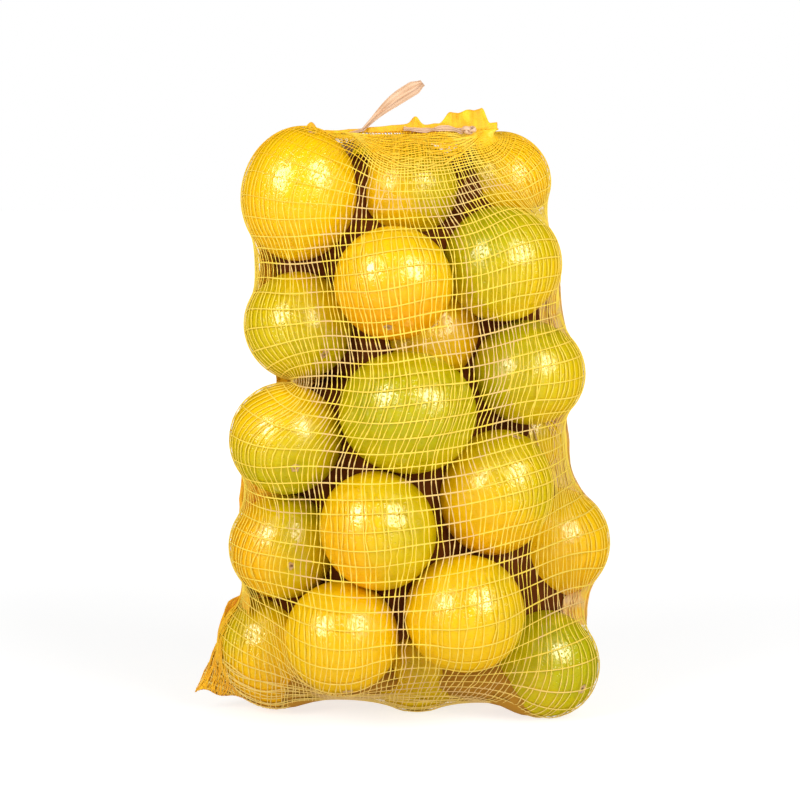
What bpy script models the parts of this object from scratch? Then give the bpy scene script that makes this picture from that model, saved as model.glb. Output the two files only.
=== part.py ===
"""A net bag packed with oranges, standing upright on its filled bottom.

The filled net is one solid: a bag of raschel net drawn tight over the fruit. The fruit are
laid out first, then a skin with the topology of the real bag (a tube sewn flat across its
bottom and drawn together at its mouth) is stretched over them. The hem of the mouth, its
upright ruffle, the knot and the standing loop of the flat drawstring are solids of their own.

Metres, +Z up. The bag faces -Y. The origin is on the floor under the bag.
"""
import math

import bmesh
import bpy
import numpy as np
from mathutils import Vector
from mathutils.bvhtree import BVHTree

MM = 0.001

# ---- driving dimensions ---------------------------------------------------------------
BAG_HALF_WIDTH = 0.108      # room for the loose fruit, side to side
BAG_HALF_DEPTH = 0.107      # room for the loose fruit, front to back
BAG_CORNER = 3.2            # exponent of the rounded plan, 2 is an ellipse
FRUIT_TOP = 0.392           # highest that a loose fruit reaches
FLOOR_SINK = 0.0018         # how far the lowest fruit are pressed flat by the floor
NET_BULK = 0.0011           # half the thickness of the net over the fruit
NET_PRESSED = 0.0020        # net that comes this near to the floor is pressed onto it
HOOP_TENSION = 0.72         # share of the net's pull that runs around the bag
SLACK_HALF_WIDTH = 0.146    # the bag before it is drawn tight
SLACK_HALF_DEPTH = 0.125
SLACK_TOP = 0.410
SINK = 0.00026              # how far each step of drawing tight sinks the net into the gaps
SINK_LEVELS = (0.030, 0.060, 0.345, 0.368)   # heights between which it starts, and ends
SINK_HEART = (0.06, 0.33)   # the stretch of the upright axis that it sinks towards
SINK_SIDES = (0.70, 0.92)   # where, towards the flat bag's side edges, it stops sinking
TUCK_AT = (-0.112, 0.010, 0.2270)        # where the net is drawn in between two fruit
TUCK_REACH = (0.036, 0.085, 0.0095)      # how far that reaches along each axis
TUCK_PULL = 0.0015          # how far each step pulls it in there
DRAW_STEP = 0.6             # share of the way to rest that each step of drawing tight takes
BOTTOM_SHARE = 0.14         # share of the net's length that closes the bottom, and the top
TOP_SHARE = 0.16
SEATED = 0.0003             # clearance between pieces that touch

SKIN_COLUMNS = 88           # around the bag
SKIN_ROWS = 56              # from the bottom seam to the mouth
COARSE_STEPS = 400          # steps of drawing the net tight at half its fineness, then whole
FINE_STEPS = 150

MOUTH_LEFT = (-0.066, -0.030, 0.3915)
MOUTH_RIGHT = (0.062, -0.022, 0.3945)
SEAM_LEFT = (-0.1435, -0.010, 0.0125)   # tip of the corner that stands out at the left
SEAM_RIGHT = (0.108, 0.012, 0.0)        # the other corner, tucked in under the bag
EAR_TOP = (-0.1285, -0.006, 0.046)      # where the left corner's edge meets the bag
EAR_SHARE = 0.10                        # share of the bag's height that this edge takes up
EAR_MIDDLE = (-0.124, -0.006, 0.022)    # wad of folded net in the corner
EAR_WIDTH = 0.024
EAR_THICK = 0.009

HEM_HEIGHT = 0.0034         # the rolled hem, standing on the net
HEM_THICK = 0.0030
HEM_PEAKS = ((-0.062, 0.0016, 0.004), (0.007, 0.0040, 0.0022))  # place, extra height, width
RUFFLE_SPAN = (0.026, 0.0565)                                   # where the hem stands up
RUFFLE_HEIGHT = 0.0094
HEM_SNAKE = 0.0012          # how far the hem snakes about the mouth, in how many half waves
HEM_WAVES = 9
RUFFLE_FOLD = 0.0016        # depth of the ruffle's folds, and their number of radians a metre
RUFFLE_WAVES = 420
RUFFLE_LEAN = 0.10
HEM_COLUMNS = 48
RUN_COLUMNS = 14

TAPE_THICK = 0.0011
RUN_SPAN = (0.001, 0.035)   # stretch of drawstring that lies along the front of the hem
RUN_HEIGHT = 0.0036
KNOT_SIZE = (0.0100, 0.0062, 0.0060)
LOOP_BASE = -0.0285                      # where the standing loop leaves the hem
LOOP_TIP = (0.0115, 0.4245)              # its far end, in the plane of the hem: x, z
LOOP_LIFT = 0.0012                       # its foot is this far above the net
LOOP_BOW = 0.0037                        # how far the loop's middle line bows upwards
LOOP_WIDTH = 0.0112
LOOP_CURL = 0.0030                       # how far its long edges curl forward

# ---- the fruit that show at the front: middle, size across and along the stem axis, in
# millimetres, and the direction of the stem
FRONT_FRUIT = (
    ((-69, -38, 351), (76, 89), (0.20, -0.22, 1.0)),
    ((2, -28, 355), (67, 66), (0.4, -0.5, -0.6)),
    ((66, 2, 361), (61, 65), (0.6, -0.3, -0.6)),
    ((-70, -34, 265), (71, 74), (0.5, -0.7, -0.5)),
    ((-7, -70, 294), (78, 73), (-0.1, -0.6, -0.8)),
    ((63, -38, 306), (78, 76), (0.2, -0.5, 0.8)),
    ((-78, -36, 190), (74, 74), (0.20, -0.87, -0.44)),
    ((2, -64, 208), (91, 80), (0.1, 0.4, 0.9)),
    ((80, -26, 234), (75, 70), (0.2, -0.3, 0.9)),
    ((-81, -30, 117), (72, 70), (0.20, -0.95, -0.27)),
    ((-17, -68, 133), (76, 81), (-0.5, -0.35, 0.8)),
    ((60, -46, 155), (76, 86), (0.3, -0.2, 0.9)),
    ((101, 8, 114), (76, 76), (0.8, 0.4, -0.3)),
    ((-91, -10, 41), (70, 80), (-0.45, -0.2, 0.87)),
    ((-42, -60, 60), (76, 76), (0.1, -0.3, -0.9)),
    ((39, -62, 77), (80, 79), (0.2, 0.3, 0.9)),
    ((94, -26, 36), (72, 74), (0.69, -0.60, -0.38)),
    ((10, 4, 37), (76, 74), (0.3, 0.2, -0.8)),
    ((20, 12, 256), (76, 76), (0.1, -0.8, 0.2)),
    ((76, 38, 186), (70, 70), (0.5, 0.1, 0.6)),
)
# ---- the fruit behind: layers of three, and two in the core, with sizes drawn at random
BACK_LAYERS = 5
BACK_PITCH = 0.0755
BACK_LEVEL = 0.037          # height of the lowest layer's middles
BACK_JITTER = (0.005, 0.003, 0.005)
BACK_PLACES = ((-0.072, 0.052, 0.0), (0.002, 0.068, 0.014), (0.072, 0.054, 0.0))
CORE_PLACES = ((-0.026, 0.008, 0.090), (-0.004, 0.004, 0.170))
FRUIT_SEED = 4
SETTLE_STEPS = 900          # steps of pushing the fruit apart
PLACED_FREEDOM = 0.15       # how readily a front fruit gives way, next to a loose one


# ---- fruit ----------------------------------------------------------------------------
def unit(vector):
    vector = np.array(vector, float)
    return vector / np.linalg.norm(vector)


def lay_out_fruit():
    """Middles, half sizes across and along, stem axes, and which fruit keep their place."""
    rng = np.random.default_rng(FRUIT_SEED)
    middle = [np.array(place) * MM for place, _, _ in FRONT_FRUIT]
    across = [size[0] * MM / 2 for _, size, _ in FRONT_FRUIT]
    along = [size[1] * MM / 2 for _, size, _ in FRONT_FRUIT]
    axis = [unit(stem) for _, _, stem in FRONT_FRUIT]
    for layer in range(BACK_LAYERS):
        for x, y, lift in BACK_PLACES:
            shift = rng.uniform(-1, 1, 3) * BACK_JITTER
            middle.append(np.array((x, y, BACK_LEVEL + BACK_PITCH * layer + lift)) + shift)
            across.append(rng.uniform(0.0345, 0.0385))
            along.append(across[-1] * rng.uniform(0.94, 1.06))
            axis.append(unit(rng.normal(size=3)))
    for place in CORE_PLACES:
        middle.append(np.array(place))
        across.append(rng.uniform(0.0335, 0.0355))
        along.append(across[-1])
        axis.append(unit(rng.normal(size=3)))
    placed = np.arange(len(middle)) < len(FRONT_FRUIT)
    return np.array(middle), np.array(across), np.array(along), np.array(axis), placed


def reach(across, along, axis, direction):
    """Distance from a spheroid's middle to its surface in a unit direction."""
    lean = (axis * direction).sum(-1) ** 2
    return 1 / np.sqrt(lean / along ** 2 + (1 - lean) / across ** 2)


def settle_fruit(middle, across, along, axis, placed):
    """Push the fruit apart until they only touch, inside the room that the bag gives."""
    home = middle.copy()
    middle = middle.copy()
    first, second = np.triu_indices(len(middle), 1)
    radius = np.maximum(across, along)
    room = np.stack([BAG_HALF_WIDTH - radius, BAG_HALF_DEPTH - radius], axis=1)
    lowest = reach(across, along, axis, np.array((0.0, 0.0, -1.0))) - FLOOR_SINK
    freedom = np.where(placed, PLACED_FREEDOM, 1.0)
    share = freedom[first] / (freedom[first] + freedom[second])
    loose = ~placed
    for step in range(SETTLE_STEPS):
        apart = middle[second] - middle[first]
        distance = np.linalg.norm(apart, axis=1)
        direction = apart / distance[:, None]
        touch = (reach(across[first], along[first], axis[first], direction)
                 + reach(across[second], along[second], axis[second], direction))
        push = (np.maximum(touch - distance, 0) * 0.5)[:, None] * direction
        np.add.at(middle, first, -push * share[:, None])
        np.add.at(middle, second, push * (1 - share)[:, None])
        falling = step < 0.4 * SETTLE_STEPS
        hold = (0.10, 0.01, 0.10) if falling else (0.04, 0.005, 0.04)
        middle[placed] += (home - middle)[placed] * hold
        middle[loose] += (home - middle)[loose] * (0.002, 0.0, 0.004)
        if falling:
            middle[loose] -= (0.0, 0.00003, 0.0)
        outside = (np.abs(middle[:, :2]) / room) ** BAG_CORNER
        excess = np.maximum(outside.sum(axis=1), 1) ** (1 / BAG_CORNER)
        middle[loose, :2] /= excess[loose, None]
        middle[:, 2] = np.maximum(middle[:, 2], lowest)
        middle[loose, 2] = np.minimum(middle[loose, 2], (FRUIT_TOP - radius)[loose])
    return middle


# ---- the net drawn over the fruit -------------------------------------------------------
def ball_maps(across, along, axis, grow):
    """For each fruit, the matrix that turns it, grown by the net, into the unit ball."""
    stem = axis[:, :, None] * axis[:, None, :]
    flat = np.eye(3) - stem
    return stem / (along + grow)[:, None, None] + flat / (across + grow)[:, None, None]


def clear_of_fruit(points, middle, maps):
    """Points inside a fruit are moved straight out from its middle to its skin."""
    flat = points.reshape(-1, 3)
    turned = np.swapaxes(maps, 1, 2)
    offset = np.matmul(flat[None], turned) - np.matmul(middle[:, None], turned)
    depth = np.sqrt((offset ** 2).sum(axis=2))
    nearest = depth.argmin(axis=0)
    depth = depth[nearest, np.arange(len(flat))]
    inside = np.flatnonzero(depth < 1)
    out = flat.copy()
    away = flat[inside] - middle[nearest[inside]]
    out[inside] = middle[nearest[inside]] + away / depth[inside, None]
    return out.reshape(points.shape)


def against(columns):
    """The column that lies against each one where the bag is flat: front against back."""
    return (-np.arange(columns)) % columns


def slack_bag(columns, rows):
    """The bag before it is drawn tight: column 0 runs up its left edge, the front follows."""
    turn = math.pi + 2 * math.pi * np.arange(columns) / columns
    span = (1 + np.cos(turn)) / 2
    cosine, sine = np.cos(turn), np.sin(turn)
    plan = (np.abs(cosine) ** BAG_CORNER + np.abs(sine) ** BAG_CORNER) ** (-1 / BAG_CORNER)
    around = np.stack([cosine * plan * SLACK_HALF_WIDTH, sine * plan * SLACK_HALF_DEPTH], axis=1)
    seam = np.array(SEAM_LEFT) + span[:, None] * (np.array(SEAM_RIGHT) - SEAM_LEFT)
    mouth = np.array(MOUTH_LEFT) + span[:, None] * (np.array(MOUTH_RIGHT) - MOUTH_LEFT)
    points = np.zeros((rows + 1, columns, 3))
    side_share = 1 - 0.8 * (BOTTOM_SHARE + TOP_SHARE)
    for row, share in enumerate(np.linspace(0, 1, rows + 1)):
        points[row, :, :2] = around
        points[row, :, 2] = SLACK_TOP * (share - 0.7 * BOTTOM_SHARE) / side_share
        points[row] = seam + (points[row] - seam) * min(share / BOTTOM_SHARE, 1)
        points[row] = mouth + (points[row] - mouth) * min((1 - share) / TOP_SHARE, 1)
    points[:, :, 2] = np.clip(points[:, :, 2], 0, SLACK_TOP)
    return points


def pin_ends(points):
    """Hold the mouth, the tips of the bottom seam and the edge of the standing corner."""
    rows, columns = points.shape[0] - 1, points.shape[1]
    span = (1 - np.cos(2 * math.pi * np.arange(columns) / columns))[:, None] / 2
    points[rows] = np.array(MOUTH_LEFT) + span * (np.array(MOUTH_RIGHT) - MOUTH_LEFT)
    points[0] = (points[0] + points[0][against(columns)]) / 2
    points[0, columns // 2] = SEAM_RIGHT
    ear_rows = round(rows * EAR_SHARE)
    share = np.linspace(0, 1, ear_rows + 1)[:, None]
    points[:ear_rows + 1, 0] = np.array(SEAM_LEFT) + share * (np.array(EAR_TOP) - SEAM_LEFT)


def sunk(points):
    """How far and which way each point is drawn into the gaps between the fruit."""
    columns = points.shape[1]
    side = np.abs(np.cos(2 * math.pi * np.arange(columns) / columns))
    share = np.clip((SINK_SIDES[1] - side) / (SINK_SIDES[1] - SINK_SIDES[0]), 0, 1)
    low, full, ease, top = SINK_LEVELS
    height = points[:, :, 2]
    share = share * np.clip((height - low) / (full - low), 0, 1)
    share = share * np.clip((top - height) / (top - ease), 0, 1)
    inward = -points
    inward[:, :, 2] += np.clip(height, *SINK_HEART)
    inward /= np.linalg.norm(inward, axis=2, keepdims=True)
    pull = SINK * share[:, :, None] * inward
    near = (((points - TUCK_AT) / TUCK_REACH) ** 2).sum(axis=2)
    pull[:, :, 0] += TUCK_PULL * np.exp(-near)
    return pull


def draw_tight(points, middle, maps, steps):
    """Relax the net like a stretched film that the fruit and the floor hold out."""
    facing = against(points.shape[1])
    for _ in range(steps):
        around = (np.roll(points, 1, axis=1) + np.roll(points, -1, axis=1)) / 2
        upward = points.copy()
        upward[1:-1] = (points[2:] + points[:-2]) / 2
        upward[0] = (points[1] + points[1][facing]) / 2
        pulled = HOOP_TENSION * around + (1 - HOOP_TENSION) * upward
        points = points + DRAW_STEP * (pulled - points) + sunk(points)
        pin_ends(points)
        points = clear_of_fruit(points, middle, maps)
        points[:, :, 2] = np.maximum(points[:, :, 2], 0)
    return points


def finer(points):
    """The same net with twice the columns and twice the rows."""
    wide = np.zeros((points.shape[0], points.shape[1] * 2, 3))
    wide[:, ::2] = points
    wide[:, 1::2] = (points + np.roll(points, -1, axis=1)) / 2
    tall = np.zeros((wide.shape[0] * 2 - 1, wide.shape[1], 3))
    tall[::2] = wide
    tall[1::2] = (wide[1:] + wide[:-1]) / 2
    return tall


def stretch_net(middle, across, along, axis):
    """The net over the fruit, at half its fineness first and then whole."""
    middle = np.vstack([middle, EAR_MIDDLE])
    across = np.append(across, EAR_WIDTH / 2)
    along = np.append(along, EAR_THICK / 2)
    axis = np.vstack([axis, (0.0, 1.0, 0.0)])
    maps = ball_maps(across, along, axis, NET_BULK)
    points = draw_tight(slack_bag(SKIN_COLUMNS // 2, SKIN_ROWS // 2), middle, maps, COARSE_STEPS)
    points = draw_tight(finer(points), middle, maps, FINE_STEPS)
    points[:, :, 2][points[:, :, 2] < NET_PRESSED] = 0
    return points


# ---- solids ---------------------------------------------------------------------------
def material(name, colour, roughness):
    finish = bpy.data.materials.new(name)
    finish.use_nodes = True
    shader = finish.node_tree.nodes["Principled BSDF"]
    shader.inputs["Base Color"].default_value = (*colour, 1.0)
    shader.inputs["Roughness"].default_value = roughness
    finish.diffuse_color = (*colour, 1.0)
    return finish


def add_object(name, mesh, collection, finish):
    mesh.materials.append(finish)
    mesh.shade_smooth()
    piece = bpy.data.objects.new(name, mesh)
    collection.objects.link(piece)
    return piece


def net_mesh(points):
    """The stretched net as one closed skin, sewn shut along its seam and at its mouth."""
    rows, columns = points.shape[:2]
    corner = np.arange(rows * columns).reshape(rows, columns)
    beside = np.roll(corner, -1, axis=1)
    faces = np.stack([corner[:-1], beside[:-1], beside[1:], corner[1:]], axis=-1).reshape(-1, 4)
    mesh = bpy.data.meshes.new("net_bag")
    mesh.from_pydata(points.reshape(-1, 3).tolist(), [], faces.tolist())
    cage = bmesh.new()
    cage.from_mesh(mesh)
    bmesh.ops.remove_doubles(cage, verts=cage.verts, dist=0.00001)
    bmesh.ops.recalc_face_normals(cage, faces=cage.faces)
    cage.to_mesh(mesh)
    cage.free()
    return mesh


def height_finder(mesh):
    """A function that gives how high the net stands under a point."""
    cage = bmesh.new()
    cage.from_mesh(mesh)
    tree = BVHTree.FromBMesh(cage)
    cage.free()

    def height(x, y):
        return tree.ray_cast(Vector((x, y, 0.6)), Vector((0, 0, -1)))[0].z

    return height


def smooth_step(value):
    value = min(max(value, 0.0), 1.0)
    return value * value * (3 - 2 * value)


def mouth_line(x):
    """How far forward the closed mouth lies at x."""
    share = (x - MOUTH_LEFT[0]) / (MOUTH_RIGHT[0] - MOUTH_LEFT[0])
    return MOUTH_LEFT[1] + share * (MOUTH_RIGHT[1] - MOUTH_LEFT[1])


def hem_line(x):
    """The hem's middle line, which snakes a little about the mouth."""
    share = (x - MOUTH_LEFT[0]) / (MOUTH_RIGHT[0] - MOUTH_LEFT[0])
    return mouth_line(x) + HEM_SNAKE * math.sin(HEM_WAVES * math.pi * share)


def hem_height(x):
    extra = sum(height * math.exp(-((x - place) / width) ** 2)
                for place, height, width in HEM_PEAKS)
    start, end = RUFFLE_SPAN
    slope = 0.75 + 0.25 * (x - start) / (end - start)
    rise = smooth_step((x - start + 0.004) / 0.008) * smooth_step((end - x) / 0.004)
    return HEM_HEIGHT + extra + RUFFLE_HEIGHT * rise * slope


def add_strip(name, columns, rows, place, thickness, collection, finish):
    """A band of cloth: a grid laid out by place(u, v), with its thickness and soft edges."""
    cage = bmesh.new()
    bmesh.ops.create_grid(cage, x_segments=columns, y_segments=rows, size=0.5)
    for vertex in cage.verts:
        vertex.co = Vector(place(vertex.co.x + 0.5, vertex.co.y + 0.5))
    mesh = bpy.data.meshes.new(name)
    cage.to_mesh(mesh)
    cage.free()
    piece = add_object(name, mesh, collection, finish)
    solid = piece.modifiers.new("thickness", "SOLIDIFY")
    solid.thickness = thickness
    solid.offset = 0.0
    edges = piece.modifiers.new("soft edges", "BEVEL")
    edges.width = thickness / 5
    edges.segments = 1
    edges.limit_method = "ANGLE"
    return piece


def seat(height, x, y, half_length, half_depth):
    """The lowest level that clears the net, over a small rectangle about x, y."""
    return SEATED + max(height(x + side * half_length, y + front * half_depth)
                        for side in (-1, 0, 1) for front in (-1, 0, 1))


def make_hem(height, collection, finish):
    left, right = MOUTH_LEFT[0] - 0.002, MOUTH_RIGHT[0] - 0.001
    step = (right - left) / HEM_COLUMNS

    def place(u, v):
        x = left + u * (right - left)
        tall = hem_height(x)
        raised = smooth_step((tall * v - HEM_HEIGHT) / (2 * HEM_HEIGHT))
        fold = RUFFLE_FOLD * math.sin(RUFFLE_WAVES * x) * raised
        y = hem_line(x) + fold + RUFFLE_LEAN * tall * v
        low = seat(height, x, hem_line(x), step, HEM_THICK * 0.7)
        return x, y, low + tall * v

    return add_strip("mouth_hem", HEM_COLUMNS, 4, place, HEM_THICK, collection, finish)


def make_run(height, collection, finish):
    start, end = RUN_SPAN
    step = (end - start) / RUN_COLUMNS

    def place(u, v):
        x = start + u * (end - start)
        y = hem_line(x) - HEM_THICK / 2 - TAPE_THICK / 2 - 2 * SEATED
        return x, y, seat(height, x, y, step, TAPE_THICK * 0.8) + RUN_HEIGHT * v

    return add_strip("drawstring_run", RUN_COLUMNS, 2, place, TAPE_THICK, collection, finish)


def make_knot(height, collection, finish):
    """A tight knot in the drawstring: a bead with a waist, on the net in front of the hem."""
    long, deep, tall = KNOT_SIZE
    x = RUN_SPAN[1] + long / 2 + 2 * SEATED
    y = hem_line(x) - HEM_THICK / 2 - deep * 0.6 - 2 * SEATED
    middle = seat(height, x, y, long / 3, deep / 3) + tall / 2
    cage = bmesh.new()
    bmesh.ops.create_uvsphere(cage, u_segments=14, v_segments=9, radius=0.5)
    for vertex in cage.verts:
        waist = 0.95 - 0.10 * math.cos(4 * math.pi * vertex.co.x)
        vertex.co = Vector((x + vertex.co.x * long, y + vertex.co.y * deep * waist,
                            middle + vertex.co.z * tall * waist))
    mesh = bpy.data.meshes.new("drawstring_knot")
    cage.to_mesh(mesh)
    cage.free()
    return add_object("drawstring_knot", mesh, collection, finish)


def make_loop(height, collection, finish):
    """The flat drawstring pulled out of the hem and bent back on itself: a tall narrow leaf."""
    front = hem_line(LOOP_BASE) - HEM_THICK / 2 - TAPE_THICK - 2 * SEATED
    base_z = seat(height, LOOP_BASE, front, 0.002, TAPE_THICK) + LOOP_LIFT
    run_x, run_z = LOOP_TIP[0] - LOOP_BASE, LOOP_TIP[1] - base_z
    length = math.hypot(run_x, run_z)
    side_x, side_z = -run_z / length, run_x / length

    def place(u, v):
        swell = 0.24 + 0.76 * smooth_step(u / 0.5)
        taper = 1 - 0.62 * smooth_step((u - 0.65) / 0.35)
        width = LOOP_WIDTH * swell * taper
        off = LOOP_BOW * math.sin(math.pi * u) + width * (v - 0.5)
        curl = LOOP_CURL * (2 * v - 1) ** 2 * smooth_step(u / 0.5)
        return LOOP_BASE + run_x * u + side_x * off, front - curl, base_z + run_z * u + side_z * off

    return add_strip("drawstring_loop", 16, 4, place, TAPE_THICK * 1.6, collection, finish)


def main():
    for leftover in list(bpy.data.objects):
        bpy.data.objects.remove(leftover, do_unlink=True)
    collection = bpy.data.collections.new("bag_of_oranges")
    bpy.context.scene.collection.children.link(collection)
    net = material("orange_net", (0.86, 0.50, 0.03), 0.55)
    hem = material("hem_net", (0.90, 0.52, 0.02), 0.60)
    tape = material("beige_tape", (0.72, 0.50, 0.33), 0.65)

    middle, across, along, axis, placed = lay_out_fruit()
    middle = settle_fruit(middle, across, along, axis, placed)
    skin = net_mesh(stretch_net(middle, across, along, axis))
    add_object("net_bag", skin, collection, net)
    height = height_finder(skin)
    make_hem(height, collection, hem)
    make_run(height, collection, tape)
    make_knot(height, collection, tape)
    make_loop(height, collection, tape)


main()
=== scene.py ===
"""The looks of a net bag of oranges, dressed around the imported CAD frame.

The CAD skin is replaced by the net's own threads and the fruit that it holds. The fruit and the
stretched net are laid out by the same rules as in the CAD source, so they fill the same form.
"""
import math

import bmesh
import bpy
import numpy as np
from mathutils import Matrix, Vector
from mathutils.bvhtree import BVHTree


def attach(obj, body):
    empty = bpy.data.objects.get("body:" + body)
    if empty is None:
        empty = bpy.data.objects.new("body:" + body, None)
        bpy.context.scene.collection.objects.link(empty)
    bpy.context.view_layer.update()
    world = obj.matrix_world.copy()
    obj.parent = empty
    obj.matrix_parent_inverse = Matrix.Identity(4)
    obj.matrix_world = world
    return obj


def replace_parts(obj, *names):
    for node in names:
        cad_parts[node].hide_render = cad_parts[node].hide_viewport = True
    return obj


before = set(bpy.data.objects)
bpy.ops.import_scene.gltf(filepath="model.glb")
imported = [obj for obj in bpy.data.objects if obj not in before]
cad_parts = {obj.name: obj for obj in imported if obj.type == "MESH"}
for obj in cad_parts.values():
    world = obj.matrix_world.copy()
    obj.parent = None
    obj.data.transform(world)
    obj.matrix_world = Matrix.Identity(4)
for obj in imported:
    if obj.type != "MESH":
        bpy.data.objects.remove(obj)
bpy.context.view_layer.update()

MM = 0.001

# ---- the bag and its fruit, as in the CAD source ------------------------------------------
BAG_HALF_WIDTH = 0.108
BAG_HALF_DEPTH = 0.107
BAG_CORNER = 3.2
FRUIT_TOP = 0.392
FLOOR_SINK = 0.0018
HOOP_TENSION = 0.72
SLACK_HALF_WIDTH = 0.146
SLACK_HALF_DEPTH = 0.125
SLACK_TOP = 0.410
TUCK_AT = (-0.112, 0.010, 0.2270)        # where the net is drawn in between two fruit
TUCK_REACH = (0.036, 0.085, 0.0095)
TUCK_PULL = 0.0017
DRAW_STEP = 0.6
BOTTOM_SHARE = 0.14
TOP_SHARE = 0.16
SKIN_COLUMNS = 88
SKIN_ROWS = 56
MOUTH_LEFT = (-0.066, -0.030, 0.3915)
MOUTH_RIGHT = (0.062, -0.022, 0.3945)
SEAM_LEFT = (-0.1435, -0.010, 0.0125)
SEAM_RIGHT = (0.108, 0.012, 0.0)
EAR_TOP = (-0.1285, -0.006, 0.046)
EAR_SHARE = 0.10
EAR_MIDDLE = (-0.124, -0.006, 0.022)
EAR_WIDTH = 0.024
EAR_THICK = 0.009

FRONT_FRUIT = (
    ((-69, -38, 351), (76, 89), (0.20, -0.22, 1.0)),
    ((2, -28, 355), (67, 66), (0.4, -0.5, -0.6)),
    ((66, 2, 361), (61, 65), (0.6, -0.3, -0.6)),
    ((-70, -34, 265), (71, 74), (0.5, -0.7, -0.5)),
    ((-7, -70, 294), (78, 73), (-0.1, -0.6, -0.8)),
    ((63, -38, 306), (78, 76), (0.2, -0.5, 0.8)),
    ((-78, -36, 190), (74, 74), (0.20, -0.87, -0.44)),
    ((2, -64, 208), (91, 80), (0.1, 0.4, 0.9)),
    ((80, -26, 234), (75, 70), (0.2, -0.3, 0.9)),
    ((-81, -30, 117), (72, 70), (0.20, -0.95, -0.27)),
    ((-17, -68, 133), (76, 81), (-0.5, -0.35, 0.8)),
    ((60, -46, 155), (76, 86), (0.3, -0.2, 0.9)),
    ((101, 8, 114), (76, 76), (0.8, 0.4, -0.3)),
    ((-91, -10, 41), (70, 80), (-0.45, -0.2, 0.87)),
    ((-42, -60, 60), (76, 76), (0.1, -0.3, -0.9)),
    ((39, -62, 77), (80, 79), (0.2, 0.3, 0.9)),
    ((94, -26, 36), (72, 74), (0.69, -0.60, -0.38)),
    ((10, 4, 37), (76, 74), (0.3, 0.2, -0.8)),
    ((20, 12, 256), (76, 76), (0.1, -0.8, 0.2)),
    ((76, 38, 186), (70, 70), (0.5, 0.1, 0.6)),
)
BACK_LAYERS = 5
BACK_PITCH = 0.0755
BACK_LEVEL = 0.037
BACK_JITTER = (0.005, 0.003, 0.005)
BACK_PLACES = ((-0.072, 0.052, 0.0), (0.002, 0.068, 0.014), (0.072, 0.054, 0.0))
BACK_RADIUS = (0.0345, 0.0385)
BACK_STRETCH = (0.94, 1.06)
CORE_PLACES = ((-0.026, 0.008, 0.090), (-0.004, 0.004, 0.170))
CORE_RADIUS = (0.0335, 0.0355)
FRUIT_SEED = 4
SETTLE_STEPS = 900
EARLY_SHARE = 0.4           # the share of the steps in which the fruit are held more firmly
HOLD_EARLY = (0.10, 0.01, 0.10)
HOLD_LATE = (0.04, 0.005, 0.04)
HOLD_LOOSE = (0.002, 0.0, 0.004)
SETTLE_FORWARD = (0.0, 0.00003, 0.0)
PLACED_GIVE = 0.15          # how easily a placed fruit gives way, where a loose one has 1
DRAW_STEPS = (400, 150, 40)          # steps in which the net is drawn tight, coarse to fine
LAST_TUCK = 0.25            # how much of the tuck's pull is kept in the last of them

# ---- hem and drawstring, as in the CAD source, with the folds and the twist that they show ----
SEATED = 0.0003
HEM_HEIGHT = 0.0034
HEM_THICK = 0.0024
HEM_PEAKS = ((-0.0620, 0.0052, 0.0036), (0.007, 0.0052, 0.0034))
RUFFLE_SPAN = (0.026, 0.0565)
RUFFLE_HEIGHT = 0.0108
RUFFLE_LOBES = 520.0        # its lobes, in radians a metre, and how deep the dips between them are
RUFFLE_NICK = 0.07
HEM_SWELL = (0.7, 1.5)      # the hem's own height at its left end and past its middle
HEM_SNAKE = 0.0012
HEM_WAVES = 9
RUFFLE_FOLD = 0.0016
RUFFLE_WAVES = 420
RUFFLE_LEAN = 0.10
HEM_COLUMNS = 420
HEM_ROWS = 12
PLEAT = 0.00030             # depth of the hem's small pleats, and their radians a metre
PLEAT_WAVES = 1500
TAPE_THICK = 0.0009
RUN_SPAN = (-0.001, 0.0385)
RUN_WIDTH = 0.0036
KNOT_SIZE = (0.0112, 0.0066, 0.0064)
KNOT_LIFT = 0.0038
KNOT_SIDES = 10
KNOT_SECTION = (0.00165, 0.0009)     # half its width and thickness
KNOT_TAPE = 0.06            # length of tape in the knot
LOOP_BASE = -0.0285
LOOP_TIP = (0.0115, 0.4245)
LOOP_LIFT = 0.0012
LOOP_BOW = 0.0024
LOOP_WIDTH = 0.0092
LOOP_CURL = 0.0024
TAIL_START = (-0.0405, 0.3905)       # the thin end of the tape that comes out of the hem: x, z
PINCH_FOOT = (-0.0375, 0.3765)       # where the tape pinches the net together: x, z

# ---- peel ------------------------------------------------------------------------------------
PEEL_GRID = 21              # squares along each side of the six patches of a fruit
PEEL_LUMPS = 0.00045        # how far the peel's broad unevenness goes in
STEM_DIMPLE = 0.0022        # depth of the dimples at both ends, and their reach in radians
STEM_REACH = 0.19
NAVEL_DIMPLE = 0.0011
NAVEL_REACH = 0.13
PEEL_PORES = 640.0          # pores and dimples of the peel, in cells a metre
PEEL_ROUGHNESS = (0.16, 0.25)
FLOOR_CLEAR = 0.0001        # how far the fruit keep above the floor
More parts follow.
